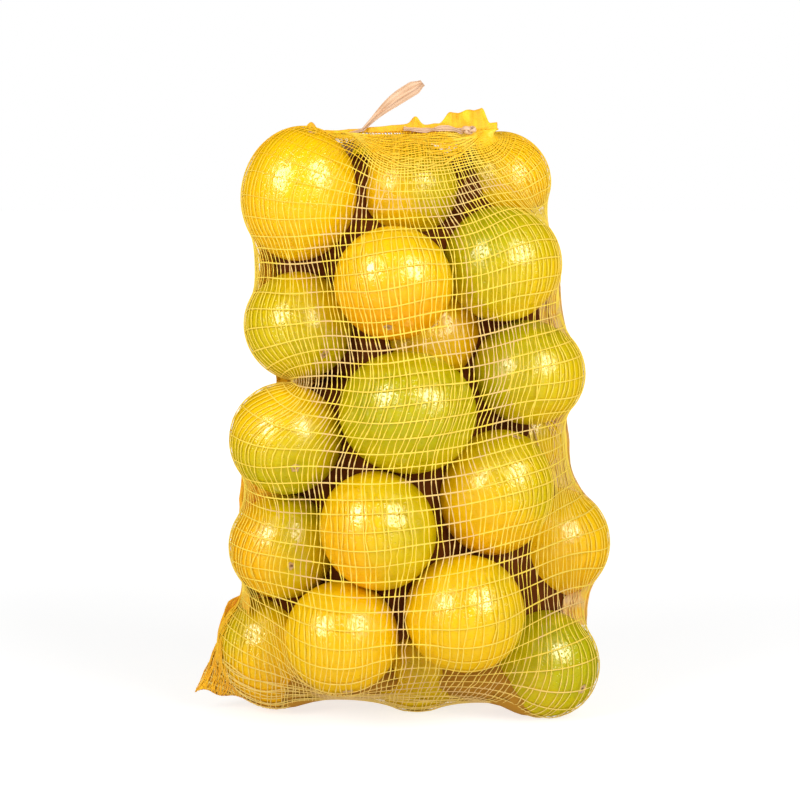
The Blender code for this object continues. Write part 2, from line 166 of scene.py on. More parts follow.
# greenness: its level and how it grows along x and z; then the same for orange, which on most fruit
# grows downward, partly the peel's colour and partly painted shade on their lower sides
RIPENESS_AND_SHADE = (
    ((-0.10, 0.0, 0.0), (0.16, -0.25, -0.15)),
    ((0.30, 0.45, 0.25), (0.05, -0.2, -0.2)),
    ((0.15, -0.35, 0.25), (0.12, 0.2, -0.4)),
    ((0.50, 0.10, -0.15), (0.15, 0.2, 0.1)),
    ((-0.15, 0.0, 0.0), (0.40, 0.0, -0.55)),
    ((0.60, -0.35, 0.35), (0.05, 0.1, -0.2)),
    ((0.42, 0.10, -0.50), (0.05, 0.0, 0.1)),
    ((0.80, 0.00, 0.05), (0.0, 0.0, 0.0)),
    ((0.62, -0.25, 0.30), (0.10, 0.2, -0.2)),
    ((0.35, 0.50, 0.05), (0.25, -0.3, 0.0)),
    ((0.25, 0.45, -0.05), (0.28, -0.2, -0.2)),
    ((0.20, 0.35, 0.25), (0.15, -0.1, -0.3)),
    ((-0.10, 0.0, 0.0), (0.28, 0.0, -0.25)),
    ((0.04, -0.28, 0.34), (0.20, 0.1, -0.3)),
    ((0.05, 0.10, 0.12), (0.20, 0.0, -0.1)),
    ((0.02, 0.25, 0.20), (0.22, 0.0, -0.1)),
    ((0.72, 0.05, 0.20), (0.05, -0.2, -0.2)),
    ((0.20, 0.0, 0.0), (0.30, 0.0, 0.0)),
    ((0.15, -0.2, 0.1), (0.0, 0.60, -0.1)),
    ((0.25, 0.0, 0.0), (0.25, 0.0, 0.0)),
)
COLOUR_SEED = 11
STEM_BEHIND = (1, 5, 8, 10)          # fruit of the front that show their other end
SCAR_RADIUS = 0.0034
SCAR_RISE = 0.0006
SCAR_SIDES = 24
# each ring of a scar: its share of the radius and of the rise, and how pale it is
SCAR_RINGS = ((0.0, 0.1, 0.0), (0.25, 0.1, 0.15), (0.5, 0.55, 0.75), (0.72, 1.0, 1.0),
              (0.9, 0.8, 0.8), (1.05, -0.6, 0.5))
PEEL_YELLOW = (0.94, 0.59, 0.0, 1)
PEEL_ORANGE = (0.93, 0.36, 0.0, 1)
PEEL_LIME = (0.68, 0.51, 0.0, 1)
PEEL_GREEN = (0.46, 0.44, 0.0, 1)
# threads look yellower on the peel, as a painted glow of the fruit beneath them, and creamier over the
# gaps
THREAD_ON_FRUIT = (0.90, 0.66, 0.08, 1)
THREAD_IN_NECK = (0.92, 0.53, 0.01, 1)
THREAD_OVER_GAP = (0.80, 0.55, 0.19, 1)
FOLD_YELLOW = (0.93, 0.53, 0.01, 1)
FOLD_ORANGE = (0.84, 0.36, 0.01, 1)
FOLD_BEIGE = (0.86, 0.60, 0.30, 1)
HEM_YELLOW = (0.93, 0.54, 0.01, 1)
# the tape, and the deeper tone of its grain and its painted shade
TAPE_LIGHT = (0.70, 0.46, 0.29, 1)
TAPE_SHADE_AND_GRAIN = (0.40, 0.23, 0.13, 1)
SCAR_LIGHT = (0.66, 0.42, 0.18, 1)
SCAR_DARK = (0.16, 0.09, 0.03, 1)
# painted shade of the pack's inside, and a paler painted glow near its bottom
CORE_SHADE = (0.17, 0.045, 0.006, 1)
CORE_DEEPEST_SHADE = (0.05, 0.012, 0.003, 1)
CORE_LOW_GLOW = (0.40, 0.19, 0.02, 1)     # near the bottom, where more net and fruit shine through

# ---- net -------------------------------------------------------------------------------------
THREAD_LIFT = 0.0007        # how far the middle of a thread stands off the peel
WARP_WIDTH = 0.00072
WEFT_WIDTH = 0.00092
THREAD_THICK = 0.00055
THREAD_TWIST = 420.0        # the fineness of its twist, in waves a metre
THREAD_UNEVEN = (0.72, 1.28)         # its width along its way, as a share of its mean width
WIDTH_POINTS = 7            # over how many points of the thread it changes
KNOT_SWELL = 0.55
WARP_SPREAD = 0.25          # how far, in columns, a warp starts off its place
WARP_JITTER = 0.15          # how far, in columns, it strays at each of its knots
WARP_WAVES = 14             # slow waves in which the warps lean: number, size in columns, rates
WARP_SWAY = 0.15
WARP_RATES = (0.06, 0.11)
WEFT_TILT = 2.4             # rows by which the net rises towards the right, and how it curves
WEFT_CURVE = 1.2
WEFT_SPREAD = 0.15          # how far, in rows, a weft starts off its place
WEFT_WAVES = 12             # slow waves of the wefts, and their size in rows
WEFT_SWAY = 0.085
NECK_START = 92             # from this row up the wefts lie closer: this many rows apart
NECK_STEP = 0.95
THREAD_SEED = 7
PEEL_BELOW = (0.007, 0.016)          # a thread counts as free where there is no fruit this far in
FREE_FROM = (0.97, 0.10)    # what counts as no fruit, on the fruit's own scale: from, and over how far
NECK_YELLOW = (0.352, 0.020, 0.75)   # above this height it looks yellower: height, reach, how much
NECK_ORANGE = (0.362, 0.018, 0.55)   # and above this one more orange
LOW_NET = (0.062, 0.035, 0.55)       # below this height the threads look pale
GATHER = (-0.040, 5.0)      # where the mouth is pinched: x, and rows below the mouth
GATHER_REACH = (0.017, 26.0, 0.90)   # reach along x, reach in rows, strength
GATHER_RISE = 0.6           # the share of the rows over which it sets in
FRONT_OF = -0.005           # only net in front of this y is gathered
SWAG = (-0.014, 0.030, 3.4)          # where the gathered net sags: x, reach along x, rows
THIN_OVER = ((-74, 372), (46, 40))   # where threads bed into the peel: x and z, reach (mm)
THINNEST = 0.45
SWAG_ROWS = (95.0, 108.5, 13)        # rows that the lowest and highest swags reach, and how many
SWAG_COLUMNS = (25.0, 72.0)          # columns from the pinch to their far ends
SWAG_DEEPEST = 0.27                  # how far along they hang lowest
SWAG_POWER = 0.62                    # the smaller, the sooner they drop from the pinch
SWAG_END = 40.0                      # rows that one would end lower if it hung a whole net lower
SWAG_WIDTH = 1.15                    # their width, in wefts
SEAM_ROWS = (1.5, 12.0, 13)          # wefts bunched over the bottom: lowest, highest, how many
SEAM_COLUMNS = (5.0, 85.0)
NECK_FOLD_ROWS = (110.3, 111.9)      # where the net lies in closed folds
NECK_COLUMNS = (16.0, 90.0)
NECK_BARE = (37.0, 11.0)             # the columns where hardly any fold shows: middle and reach
# where the net was pulled askew: x and z, reach along x and z, lean of the warps (all mm)
NET_PULLS = (
    ((-52, 317), (30, 34), -9),
    ((32, 340), (24, 30), -8),
    ((-44, 203), (24, 26), 10),
    ((12, 200), (30, 34), 8),
    ((54, 214), (20, 26), 8),
    ((66, 184), (24, 26), -8),
    ((-88, 205), (18, 28), 12),
    ((-66, 86), (18, 24), -9),
    ((22, 104), (22, 28), 6),
    ((-96, 62), (22, 34), -16),
)

# ---- folded net: the side edges, the standing corner and the bottom edge
FOLD_LEFT = ((0.252, 0.332, 1.0), (0.210, 0.243, 0.45), (0.138, 0.172, 0.7),
             (0.045, 0.080, 0.6))      # heights, and how much of the dip the fold spans
FOLD_RIGHT = ((0.255, 0.300, 0.6), (0.136, 0.205, 0.12), (0.058, 0.092, 0.25))
# where folds lie behind the net its threads get the painted yellow glow of the fold: x and z, reach
# along x and z (mm)
YELLOW_NET = (((-104, 300), (24, 26)), ((-108, 158), (16, 18)), ((-106, 42), (42, 50)),
              ((112, 170), (26, 40)), ((106, 118), (30, 34)))
YELLOW_SHARE = 0.9
FOLD_POINTS = 420
FOLD_STEPS = 2600           # steps in which its edge is drawn tight
FOLD_TAPER = 0.007          # how far from its ends a fold reaches its full span
FOLD_STRANDS = 9
NET_WEAVE = 1150.0          # the weave of folded net, in cells a metre
FOLD_GAP = 0.0011
FOLD_ROOT = 0.032           # how far in from the net's edge the fold begins
CORNER_ROWS = 30            # reach of the folded corner up the net, and around it each way
CORNER_COLUMNS = (15, 26)
CORNER_CLOSED = 11          # its closed folds end at this column, but for the bottom edge
CORNER_STRANDS = 3.0        # strands a column
CORNER_TAPER = 8.0          # columns either side of the edge over which they reach less and less high
CORNER_FINENESS = (91, 165)

# ---- the painted shade of the pack: a dark core between the fruit
CORE_INSET = 0.043          # how far inside the net: front and back, at the sides, below and above
CORE_INSET_SIDE = 0.013
CORE_INSET_BELOW = 0.006
CORE_INSET_ABOVE = 0.018
CORE_LEFT = -0.100          # it stays clear of the standing corner
CORE_HEIGHTS = (0.004, 0.330)
CORE_SIDE = (0.012, 0.05)   # where the insets give way to one another: from, and over how far
CORE_BELOW = (0.018, 0.03)
CORE_ABOVE = (0.350, 0.03)
CORE_PALE = (0.020, 0.045)  # where its pale bottom ends
PEEPING_FRUIT = 18          # a fruit of the second row, and how far it has come forward
PEEPING_SHIFT = (-0.003, -0.015, 0.002)
CORE_SEEN_PAST = [17, 18, 19]        # fruit of the second row that show between the first
CORE_CLEARANCE = 1.12                # how far the core keeps off them, on their own scale
CORE_STEPS = 24             # steps in which it is drawn in for that, and what each one keeps
CORE_KEPT = 0.95
CORE_SMOOTHING = 3

# ---- studio
CAMERA_TARGET = (-0.0034, 0.0, 0.212)
CAMERA_RISE = 5.0
CAMERA_DISTANCE = 1.6
CAMERA_LENS = 105.9
SOFTBOXES = (
    ("softbox_left", (-41, 25), (0.74, 1.00), 13.0),
    ("softbox_right", (41, 26), (1.00, 1.00), 15.0),
)
SOFTBOX_DISTANCE = 1.5
ROOM_LIGHT = 0.36
FLOOR_RADIUS = 45.0
FLOOR_SHADE = 0.42
FLOOR_GLOW = (0.72, 1.0)    # how much the floor glows under the bag, and far from it
FLOOR_GLOW_REACH = (0.25, 1.6)


# ---- numbers, grids and directions -------------------------------------------------------------
def unit(vector):
    """One vector at length 1."""
    vector = np.array(vector, float)
    return vector / np.linalg.norm(vector)


def directions(vectors):
    """Unit vectors along the last axis."""
    return vectors / (np.linalg.norm(vectors, axis=-1, keepdims=True) + 1e-12)


def smooth_step(value, start=0.0, span=1.0):
    """0 up to a start, 1 a span further on, and an even rise between."""
    value = np.clip((value - start) / span, 0.0, 1.0)
    return value * value * (3 - 2 * value)


def phase(rng, size=None):
    """A random start for a wave."""
    return rng.uniform(0, 6.3, size)


def squares(rows, columns, around=False):
    """The squares of a grid of points, by the numbers of their corners. It may close sideways."""
    index = np.arange(rows * columns).reshape(rows, columns)
    near, far = (index, np.roll(index, -1, axis=1)) if around else (index[:, :-1], index[:, 1:])
    return np.stack([near[:-1], far[:-1], far[1:], near[1:]], axis=-1)


def sample(grid, row, column):
    """Points of a net grid at fractional rows and columns."""
    rows, columns = grid.shape[:2]
    row = np.clip(row, 0, rows - 1.000001)
    low, left = np.floor(row).astype(int), np.floor(column).astype(int)
    up, right = (row - low)[..., None], (column - left)[..., None]
    left, beside = left % columns, (left + 1) % columns
    bottom = grid[low, left] * (1 - right) + grid[low, beside] * right
    top = grid[low + 1, left] * (1 - right) + grid[low + 1, beside] * right
    return bottom * (1 - up) + top * up


def off_centre(points, spot):
    """How far points lie from a spot of the front, squared, in its own reaches along x and z."""
    (x, z), (reach_x, reach_z) = spot
    return ((points[..., 0] / MM - x) / reach_x) ** 2 + ((points[..., 2] / MM - z) / reach_z) ** 2


# ---- fruit, by the CAD source's rules ------------------------------------------------------
def lay_out_fruit():
    """Middles, half sizes across and along, stem axes, and which fruit keep their place."""
    rng = np.random.default_rng(FRUIT_SEED)
    middle = [np.array(place) * MM for place, _, _ in FRONT_FRUIT]
    across = [size[0] * MM / 2 for _, size, _ in FRONT_FRUIT]
    along = [size[1] * MM / 2 for _, size, _ in FRONT_FRUIT]
    axis = [unit(stem) for _, _, stem in FRONT_FRUIT]
    for layer in range(BACK_LAYERS):
        for x, y, lift in BACK_PLACES:
            shift = rng.uniform(-1, 1, 3) * BACK_JITTER
            middle.append(np.array((x, y, BACK_LEVEL + BACK_PITCH * layer + lift)) + shift)
            across.append(rng.uniform(*BACK_RADIUS))
            along.append(across[-1] * rng.uniform(*BACK_STRETCH))
            axis.append(unit(rng.normal(size=3)))
    for place in CORE_PLACES:
        middle.append(np.array(place))
        across.append(rng.uniform(*CORE_RADIUS))
        along.append(across[-1])
        axis.append(unit(rng.normal(size=3)))
    placed = np.arange(len(middle)) < len(FRONT_FRUIT)
    return np.array(middle), np.array(across), np.array(along), np.array(axis), placed


def reach(across, along, axis, direction):
    """Distance from a spheroid's middle to its surface in a unit direction."""
    lean = (axis * direction).sum(-1) ** 2
    return 1 / np.sqrt(lean / along ** 2 + (1 - lean) / across ** 2)


def settle_fruit(middle, across, along, axis, placed):
    """Push the fruit apart until they only touch, inside the room that the bag gives."""
    home = middle.copy()
    middle = middle.copy()
    first, second = np.triu_indices(len(middle), 1)
    radius = np.maximum(across, along)
    room = np.stack([BAG_HALF_WIDTH - radius, BAG_HALF_DEPTH - radius], axis=1)
    lowest = reach(across, along, axis, np.array((0.0, 0.0, -1.0))) - FLOOR_SINK
    give = np.where(placed, PLACED_GIVE, 1.0)
    share = give[first] / (give[first] + give[second])
    loose = ~placed
    for step in range(SETTLE_STEPS):
        apart = middle[second] - middle[first]
        distance = np.linalg.norm(apart, axis=1)
        direction = apart / distance[:, None]
        touch = (reach(across[first], along[first], axis[first], direction)
                 + reach(across[second], along[second], axis[second], direction))
        push = (np.maximum(touch - distance, 0) * 0.5)[:, None] * direction
        np.add.at(middle, first, -push * share[:, None])
        np.add.at(middle, second, push * (1 - share)[:, None])
        early = step < EARLY_SHARE * SETTLE_STEPS
        middle[placed] += (home - middle)[placed] * (HOLD_EARLY if early else HOLD_LATE)
        middle[loose] += (home - middle)[loose] * HOLD_LOOSE
        if early:
            middle[loose] -= SETTLE_FORWARD
        outside = (np.abs(middle[:, :2]) / room) ** BAG_CORNER
        excess = np.maximum(outside.sum(axis=1), 1) ** (1 / BAG_CORNER)
        middle[loose, :2] /= excess[loose, None]
        middle[:, 2] = np.maximum(middle[:, 2], lowest)
        middle[loose, 2] = np.minimum(middle[loose, 2], (FRUIT_TOP - radius)[loose])
    return middle


# ---- the stretched net, by the CAD source's rules --------------------------------------------
def ball_maps(across, along, axis, grow):
    """For each fruit, the matrix that turns it, grown by the net, into the unit ball."""
    stem = axis[:, :, None] * axis[:, None, :]
    flat = np.eye(3) - stem
    return stem / (along + grow)[:, None, None] + flat / (across + grow)[:, None, None]


def depth_in_fruit(flat, middle, maps):
    """For each point its nearest fruit, and how far out it is on that fruit's own scale."""
    turned = np.swapaxes(maps, 1, 2)
    offset = np.matmul(flat[None], turned) - np.matmul(middle[:, None], turned)
    depth = np.sqrt((offset ** 2).sum(axis=2))
    nearest = depth.argmin(axis=0)
    return nearest, depth[nearest, np.arange(len(flat))]


def clear_of_fruit(points, middle, maps):
    """Points inside a fruit are moved straight out from its middle to its skin."""
    flat = points.reshape(-1, 3)
    nearest, depth = depth_in_fruit(flat, middle, maps)
    inside = np.flatnonzero(depth < 1)
    out = flat.copy()
    away = flat[inside] - middle[nearest[inside]]
    out[inside] = middle[nearest[inside]] + away / depth[inside, None]
    return out.reshape(points.shape)


def against(columns):
    """The column that lies against each one where the bag is flat: front against back."""
    return (-np.arange(columns)) % columns


def slack_bag(columns, rows):
    """The bag before it is drawn tight: column 0 runs up its left edge, the front follows."""
    turn = math.pi + 2 * math.pi * np.arange(columns) / columns
    span = (1 + np.cos(turn)) / 2
    cosine, sine = np.cos(turn), np.sin(turn)
    plan = (np.abs(cosine) ** BAG_CORNER + np.abs(sine) ** BAG_CORNER) ** (-1 / BAG_CORNER)
    around = np.stack([cosine * plan * SLACK_HALF_WIDTH, sine * plan * SLACK_HALF_DEPTH], axis=1)
    seam = np.array(SEAM_LEFT) + span[:, None] * (np.array(SEAM_RIGHT) - SEAM_LEFT)
    mouth = np.array(MOUTH_LEFT) + span[:, None] * (np.array(MOUTH_RIGHT) - MOUTH_LEFT)
    points = np.zeros((rows + 1, columns, 3))
    side_share = 1 - 0.8 * (BOTTOM_SHARE + TOP_SHARE)
    for row, share in enumerate(np.linspace(0, 1, rows + 1)):
        points[row, :, :2] = around
        points[row, :, 2] = SLACK_TOP * (share - 0.7 * BOTTOM_SHARE) / side_share
        points[row] = seam + (points[row] - seam) * min(share / BOTTOM_SHARE, 1)
        points[row] = mouth + (points[row] - mouth) * min((1 - share) / TOP_SHARE, 1)
    points[:, :, 2] = np.clip(points[:, :, 2], 0, SLACK_TOP)
    return points


def pin_ends(points):
    """Hold the mouth, the tips of the bottom seam and the edge of the standing corner."""
    rows, columns = points.shape[0] - 1, points.shape[1]
    span = (1 - np.cos(2 * math.pi * np.arange(columns) / columns))[:, None] / 2
    points[rows] = np.array(MOUTH_LEFT) + span * (np.array(MOUTH_RIGHT) - MOUTH_LEFT)
    points[0] = (points[0] + points[0][against(columns)]) / 2
    points[0, columns // 2] = SEAM_RIGHT
    ear_rows = round(rows * EAR_SHARE)
    share = np.linspace(0, 1, ear_rows + 1)[:, None]
    points[:ear_rows + 1, 0] = np.array(SEAM_LEFT) + share * (np.array(EAR_TOP) - SEAM_LEFT)


def tucked(points):
    """How far each point is drawn in where the net is tucked between two fruit."""
    near = (((points - TUCK_AT) / TUCK_REACH) ** 2).sum(axis=2, keepdims=True)
    return np.exp(-near) * (TUCK_PULL, 0.0, 0.0)


def draw_tight(points, middle, maps, steps, tuck=1.0):
    """Relax the net like a stretched film that the fruit and the floor hold out."""
    facing = against(points.shape[1])
    for _ in range(steps):
        around = (np.roll(points, 1, axis=1) + np.roll(points, -1, axis=1)) / 2
        upward = points.copy()
        upward[1:-1] = (points[2:] + points[:-2]) / 2
        upward[0] = (points[1] + points[1][facing]) / 2
        pulled = HOOP_TENSION * around + (1 - HOOP_TENSION) * upward
        points = points + DRAW_STEP * (pulled - points) + tuck * tucked(points)
        pin_ends(points)
        points = clear_of_fruit(points, middle, maps)
        points[:, :, 2] = np.maximum(points[:, :, 2], THREAD_THICK)
    return points


def finer(points):
    """The same net with twice the columns and twice the rows."""
    wide = np.zeros((points.shape[0], points.shape[1] * 2, 3))
    wide[:, ::2] = points
    wide[:, 1::2] = (points + np.roll(points, -1, axis=1)) / 2
    tall = np.zeros((wide.shape[0] * 2 - 1, wide.shape[1], 3))
    tall[::2] = wide
    tall[1::2] = (wide[1:] + wide[:-1]) / 2
    return tall


def with_ear(middle, across, along, axis, grow):
    """Middles and ball maps of the fruit and of the wad of net in the standing corner."""
    middle = np.vstack([middle, EAR_MIDDLE])
    across = np.append(across, EAR_WIDTH / 2)
    along = np.append(along, EAR_THICK / 2)
    axis = np.vstack([axis, (0.0, 1.0, 0.0)])
    return middle, ball_maps(across, along, axis, grow)


def stretch_net(middle, maps):
    """The net over the fruit, in three steps of fineness."""
    first, second, last = DRAW_STEPS
    points = draw_tight(slack_bag(SKIN_COLUMNS // 2, SKIN_ROWS // 2), middle, maps, first)
    points = draw_tight(finer(points), middle, maps, second)
    return draw_tight(finer(points), middle, maps, last, LAST_TUCK)


class Net:
    """The net stretched over the fruit: its grid of points, and the fruit that hold it out."""

    def __init__(self, middle, maps):
        self.middle, self.maps = middle, maps
        self.grid = stretch_net(middle, maps)
        self.rows, self.columns = self.grid.shape[0] - 1, self.grid.shape[1]
        around = np.roll(self.grid, -1, axis=1) - np.roll(self.grid, 1, axis=1)
        self.outward = directions(np.cross(around, np.gradient(self.grid, axis=0)))

    def clear(self, points):
        """The points, moved out of the fruit."""
        return clear_of_fruit(points, self.middle, self.maps)

    def depth(self, points):
        """How far out points are on the scale of their nearest fruit: 1 is its skin."""
        depth = depth_in_fruit(points.reshape(-1, 3), self.middle, self.maps)[1]
        return depth.reshape(points.shape[:-1])

    def lay(self, row, column, lift=0.0):
        """Points of the net, clear of fruit and floor, and its outward direction there."""
        out = sample(self.outward, row, column)
        points = self.clear(sample(self.grid, row, column) + out * lift)
        points[..., 2] = np.maximum(points[..., 2], THREAD_THICK)
        return points, out

    def top(self):
        """A function that gives how high the net stands at points x, y near its mouth."""
        faces = squares(self.rows + 1, self.columns, True).reshape(-1, 4)
        tree = BVHTree.FromPolygons(self.grid.reshape(-1, 3).tolist(), faces.tolist())

        def height(x, y):
            x, y = np.broadcast_arrays(x, y)
            found = [tree.ray_cast(Vector((a, b, 0.6)), Vector((0, 0, -1)))[0].z
                     for a, b in zip(x.ravel().tolist(), y.ravel().tolist())]
            return np.array(found).reshape(x.shape)

        return height


# ---- node materials --------------------------------------------------------------------------
class Nodes:
    """A material's node tree, with short calls for the nodes that the finishes use."""

    def __init__(self, name):
        self.material = bpy.data.materials.new(name)
        self.material.use_nodes = True
        self.tree = self.material.node_tree
        self.shader = self.tree.nodes["Principled BSDF"]

    def link(self, source, target):
        self.tree.links.new(source, target)

    def fill(self, socket, value):
        if hasattr(value, "is_linked"):
            self.link(value, socket)
        else:
            socket.default_value = value

    def settings(self, **values):
        for name, value in values.items():
            self.shader.inputs[name.replace("_", " ")].default_value = value

    def attribute(self, name):
        node = self.tree.nodes.new("ShaderNodeAttribute")
        node.attribute_name = name
        return node.outputs["Fac"]

    def place(self):
        return self.tree.nodes.new("ShaderNodeTexCoord").outputs["Object"]

    def noise(self, scale, detail=2.0, roughness=0.5, place=None):
        node = self.tree.nodes.new("ShaderNodeTexNoise")
        self.link(place or self.place(), node.inputs["Vector"])
        node.inputs["Scale"].default_value = scale
        node.inputs["Detail"].default_value = detail
        node.inputs["Roughness"].default_value = roughness
        return node.outputs["Fac"]

    def cells(self, scale):
        node = self.tree.nodes.new("ShaderNodeTexVoronoi")
        self.link(self.place(), node.inputs["Vector"])
        node.inputs["Scale"].default_value = scale
        return node.outputs["Distance"]

    def math(self, operation, first, second=0.0, third=None):
        node = self.tree.nodes.new("ShaderNodeMath")
        node.operation = operation
        self.fill(node.inputs[0], first)
        self.fill(node.inputs[1], second)
        if third is not None:
            self.fill(node.inputs[2], third)
        return node.outputs[0]

    def ramp(self, value, low, high, start=0.0, end=1.0):
        node = self.tree.nodes.new("ShaderNodeMapRange")
        node.interpolation_type = "SMOOTHSTEP"
        self.fill(node.inputs["Value"], value)
        for name, number in (("From Min", low), ("From Max", high), ("To Min", start), ("To Max", end)):
            node.inputs[name].default_value = number
        return node.outputs["Result"]

    def mix(self, share, first, second, blend="MIX"):
        node = self.tree.nodes.new("ShaderNodeMix")
        node.data_type = "RGBA"
        node.blend_type = blend
        self.fill(node.inputs["Factor"], share)
        self.fill(node.inputs["A"], first)
        self.fill(node.inputs["B"], second)
        return node.outputs["Result"]

    def bump(self, height, distance, strength=1.0, after=None):
        node = self.tree.nodes.new("ShaderNodeBump")
        self.fill(node.inputs["Height"], height)
        node.inputs["Distance"].default_value = distance
        node.inputs["Strength"].default_value = strength
        if after is not None:
            self.link(after, node.inputs["Normal"])
        return node.outputs["Normal"]


def peel_finish():
    """Waxed peel, yellow to orange and lime to green, with pores and a broad unevenness, and painted
    shade in the pores' dimples.
    """
    nodes = Nodes("peel")
    mottle = nodes.noise(38.0, 4.0, 0.6)
    patch = nodes.noise(11.0, 2.0)
    green = nodes.math("ADD", nodes.attribute("green"),
                       nodes.math("MULTIPLY_ADD", mottle, 0.55, -0.275))
    green = nodes.math("ADD", green, nodes.math("MULTIPLY_ADD", patch, 0.5, -0.25))
    orange = nodes.math("ADD", nodes.attribute("orange"),
                        nodes.math("MULTIPLY_ADD", patch, -0.4, 0.2))
    yellow = nodes.mix(nodes.ramp(orange, 0.0, 1.0), PEEL_YELLOW, PEEL_ORANGE)
    pale = nodes.mix(nodes.ramp(green, 0.05, 0.50), yellow, PEEL_LIME)
    colour = nodes.mix(nodes.ramp(green, 0.45, 1.0), pale, PEEL_GREEN)
    pores = nodes.cells(PEEL_PORES)
    # painted shade: the colour darkens in the middle of each pore, where its dimple sinks in
    colour = nodes.mix(0.35, colour, nodes.ramp(pores, 0.08, 0.34, 0.80, 1.0), "MULTIPLY")
    nodes.link(colour, nodes.shader.inputs["Base Color"])
    rough = nodes.ramp(nodes.noise(260.0, 2.0), 0.3, 0.7, *PEEL_ROUGHNESS)
    nodes.link(rough, nodes.shader.inputs["Roughness"])
    dimples = nodes.bump(nodes.ramp(pores, 0.0, 0.45), 0.00024)
    uneven = nodes.bump(nodes.noise(190.0, 3.0), 0.0009, 0.7, dimples)
    nodes.link(uneven, nodes.shader.inputs["Normal"])
    nodes.settings(IOR=1.75, Specular_IOR_Level=1.0, Specular_Tint=(1.0, 0.96, 0.70, 1))
    return nodes.material


def thread_finish():
    """Threads of twisted tape: yellow on the peel as a painted glow of the fruit beneath, paler from one
    fruit to the next, deeper where they are gathered.
    """
    nodes = Nodes("net_thread")
    uneven = nodes.ramp(nodes.noise(THREAD_TWIST, 2.0), 0.3, 0.7, -0.12, 0.12)
    free = nodes.math("ADD", nodes.attribute("free"), uneven)
    # painted glow: threads near the peel take its yellow, those over gaps stay creamy
    colour = nodes.mix(nodes.ramp(free, 0.1, 0.9), THREAD_ON_FRUIT, THREAD_OVER_GAP)
    colour = nodes.mix(nodes.ramp(free, -0.7, -0.05, 1.0, 0.0), colour, THREAD_IN_NECK)
    nodes.link(colour, nodes.shader.inputs["Base Color"])
    twist = nodes.tree.nodes.new("ShaderNodeTexWave")
    nodes.link(nodes.place(), twist.inputs["Vector"])
    twist.bands_direction = "DIAGONAL"
    twist.inputs["Scale"].default_value = THREAD_TWIST
    twist.inputs["Distortion"].default_value = 2.0
    nodes.link(nodes.bump(twist.outputs["Fac"], 0.0002, 0.5), nodes.shader.inputs["Normal"])
    nodes.settings(Roughness=0.45, Specular_IOR_Level=0.2)
    return nodes.material


def fold_finish(name, light, deep):
    """Net that lies in several layers: deeper in its folds, streaked along its strands. Its free values
    set how deep it looks; the neck, the side edges and the hem's ruffle give them as painted shade in
    the hollows of their folds.
    """
    nodes = Nodes(name)
    streak = nodes.noise(90.0, 4.0, 0.65)
    streak = nodes.ramp(streak, 0.3, 0.7, -0.1, 0.5)
    # how deep it looks: the painted shade that each piece gives its folds, and streaks
    tone = nodes.math("MULTIPLY_ADD", nodes.attribute("free"), 0.6, streak)
    nodes.link(nodes.mix(tone, light, deep), nodes.shader.inputs["Base Color"])
    nodes.link(nodes.bump(nodes.cells(NET_WEAVE), 0.0004, 0.7), nodes.shader.inputs["Normal"])
    nodes.settings(Roughness=0.5, Specular_IOR_Level=0.3)
    return nodes.material


def tape_finish():
    """Flat string of split film: a grain along its length, and painted shade in its creases and along
    its folded edges.
    """
    nodes = Nodes("tape")
    grain = nodes.tree.nodes.new("ShaderNodeCombineXYZ")
    nodes.fill(grain.inputs["X"], nodes.math("MULTIPLY", nodes.attribute("along"), 60.0))
    nodes.fill(grain.inputs["Y"], nodes.math("MULTIPLY", nodes.attribute("across"), 900.0))
    fibre = nodes.noise(1.0, 3.0, 0.6, grain.outputs["Vector"])
    # its painted shade, and a little grain
    tone = nodes.math("ADD", nodes.attribute("crease"), nodes.ramp(fibre, 0.3, 0.75, 0.0, 0.12))
    nodes.link(nodes.mix(tone, TAPE_LIGHT, TAPE_SHADE_AND_GRAIN), nodes.shader.inputs["Base Color"])
    nodes.link(nodes.bump(fibre, 0.00015, 0.6), nodes.shader.inputs["Normal"])
    nodes.settings(Roughness=0.42, Specular_IOR_Level=0.45)
    return nodes.material


def shade_core_finish():
    """Painted shade for the inside of the pack: dark, and a paler painted glow near the bottom."""
    nodes = Nodes("painted_shade_core")
    dark = nodes.mix(nodes.noise(60.0), CORE_SHADE, CORE_DEEPEST_SHADE)
    nodes.link(nodes.mix(nodes.attribute("low"), dark, CORE_LOW_GLOW), nodes.shader.inputs["Base Color"])
    nodes.settings(Roughness=0.9, Specular_IOR_Level=0.05)
    return nodes.material


def scar_finish():
    """The button where the stem was: pinkish brown, darker in its middle."""
    nodes = Nodes("stem_scar")
    uneven = nodes.ramp(nodes.noise(700.0), 0.3, 0.7, -0.2, 0.2)
    tone = nodes.math("ADD", nodes.attribute("rim"), uneven)
    nodes.link(nodes.mix(tone, SCAR_DARK, SCAR_LIGHT), nodes.shader.inputs["Base Color"])
    nodes.link(nodes.bump(nodes.noise(1400.0), 0.0003, 0.7), nodes.shader.inputs["Normal"])
    nodes.settings(Roughness=0.65, Specular_IOR_Level=0.3)
    return nodes.material


# ---- pieces, the fruit and the painted shade between it ------------------------------------------
def add_piece(name, points, faces, finish, slot, **values):
    """A smooth mesh with its finish and its values at points, which rides with the bag."""
    used, faces = np.unique(faces, return_inverse=True)
    mesh = bpy.data.meshes.new(name)
    mesh.from_pydata(points.reshape(-1, 3)[used].tolist(), [], faces.reshape(-1, 4).tolist())
    for label, numbers in values.items():
        layer = mesh.attributes.new(label, "FLOAT", "POINT")
        layer.data.foreach_set("value", numbers.ravel()[used].astype(np.float32))
    mesh.materials.append(finish)
    mesh.shade_smooth()
    piece = bpy.data.objects.new(name, mesh)
    bpy.context.scene.collection.objects.link(piece)
    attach(piece, "root")
    return piece


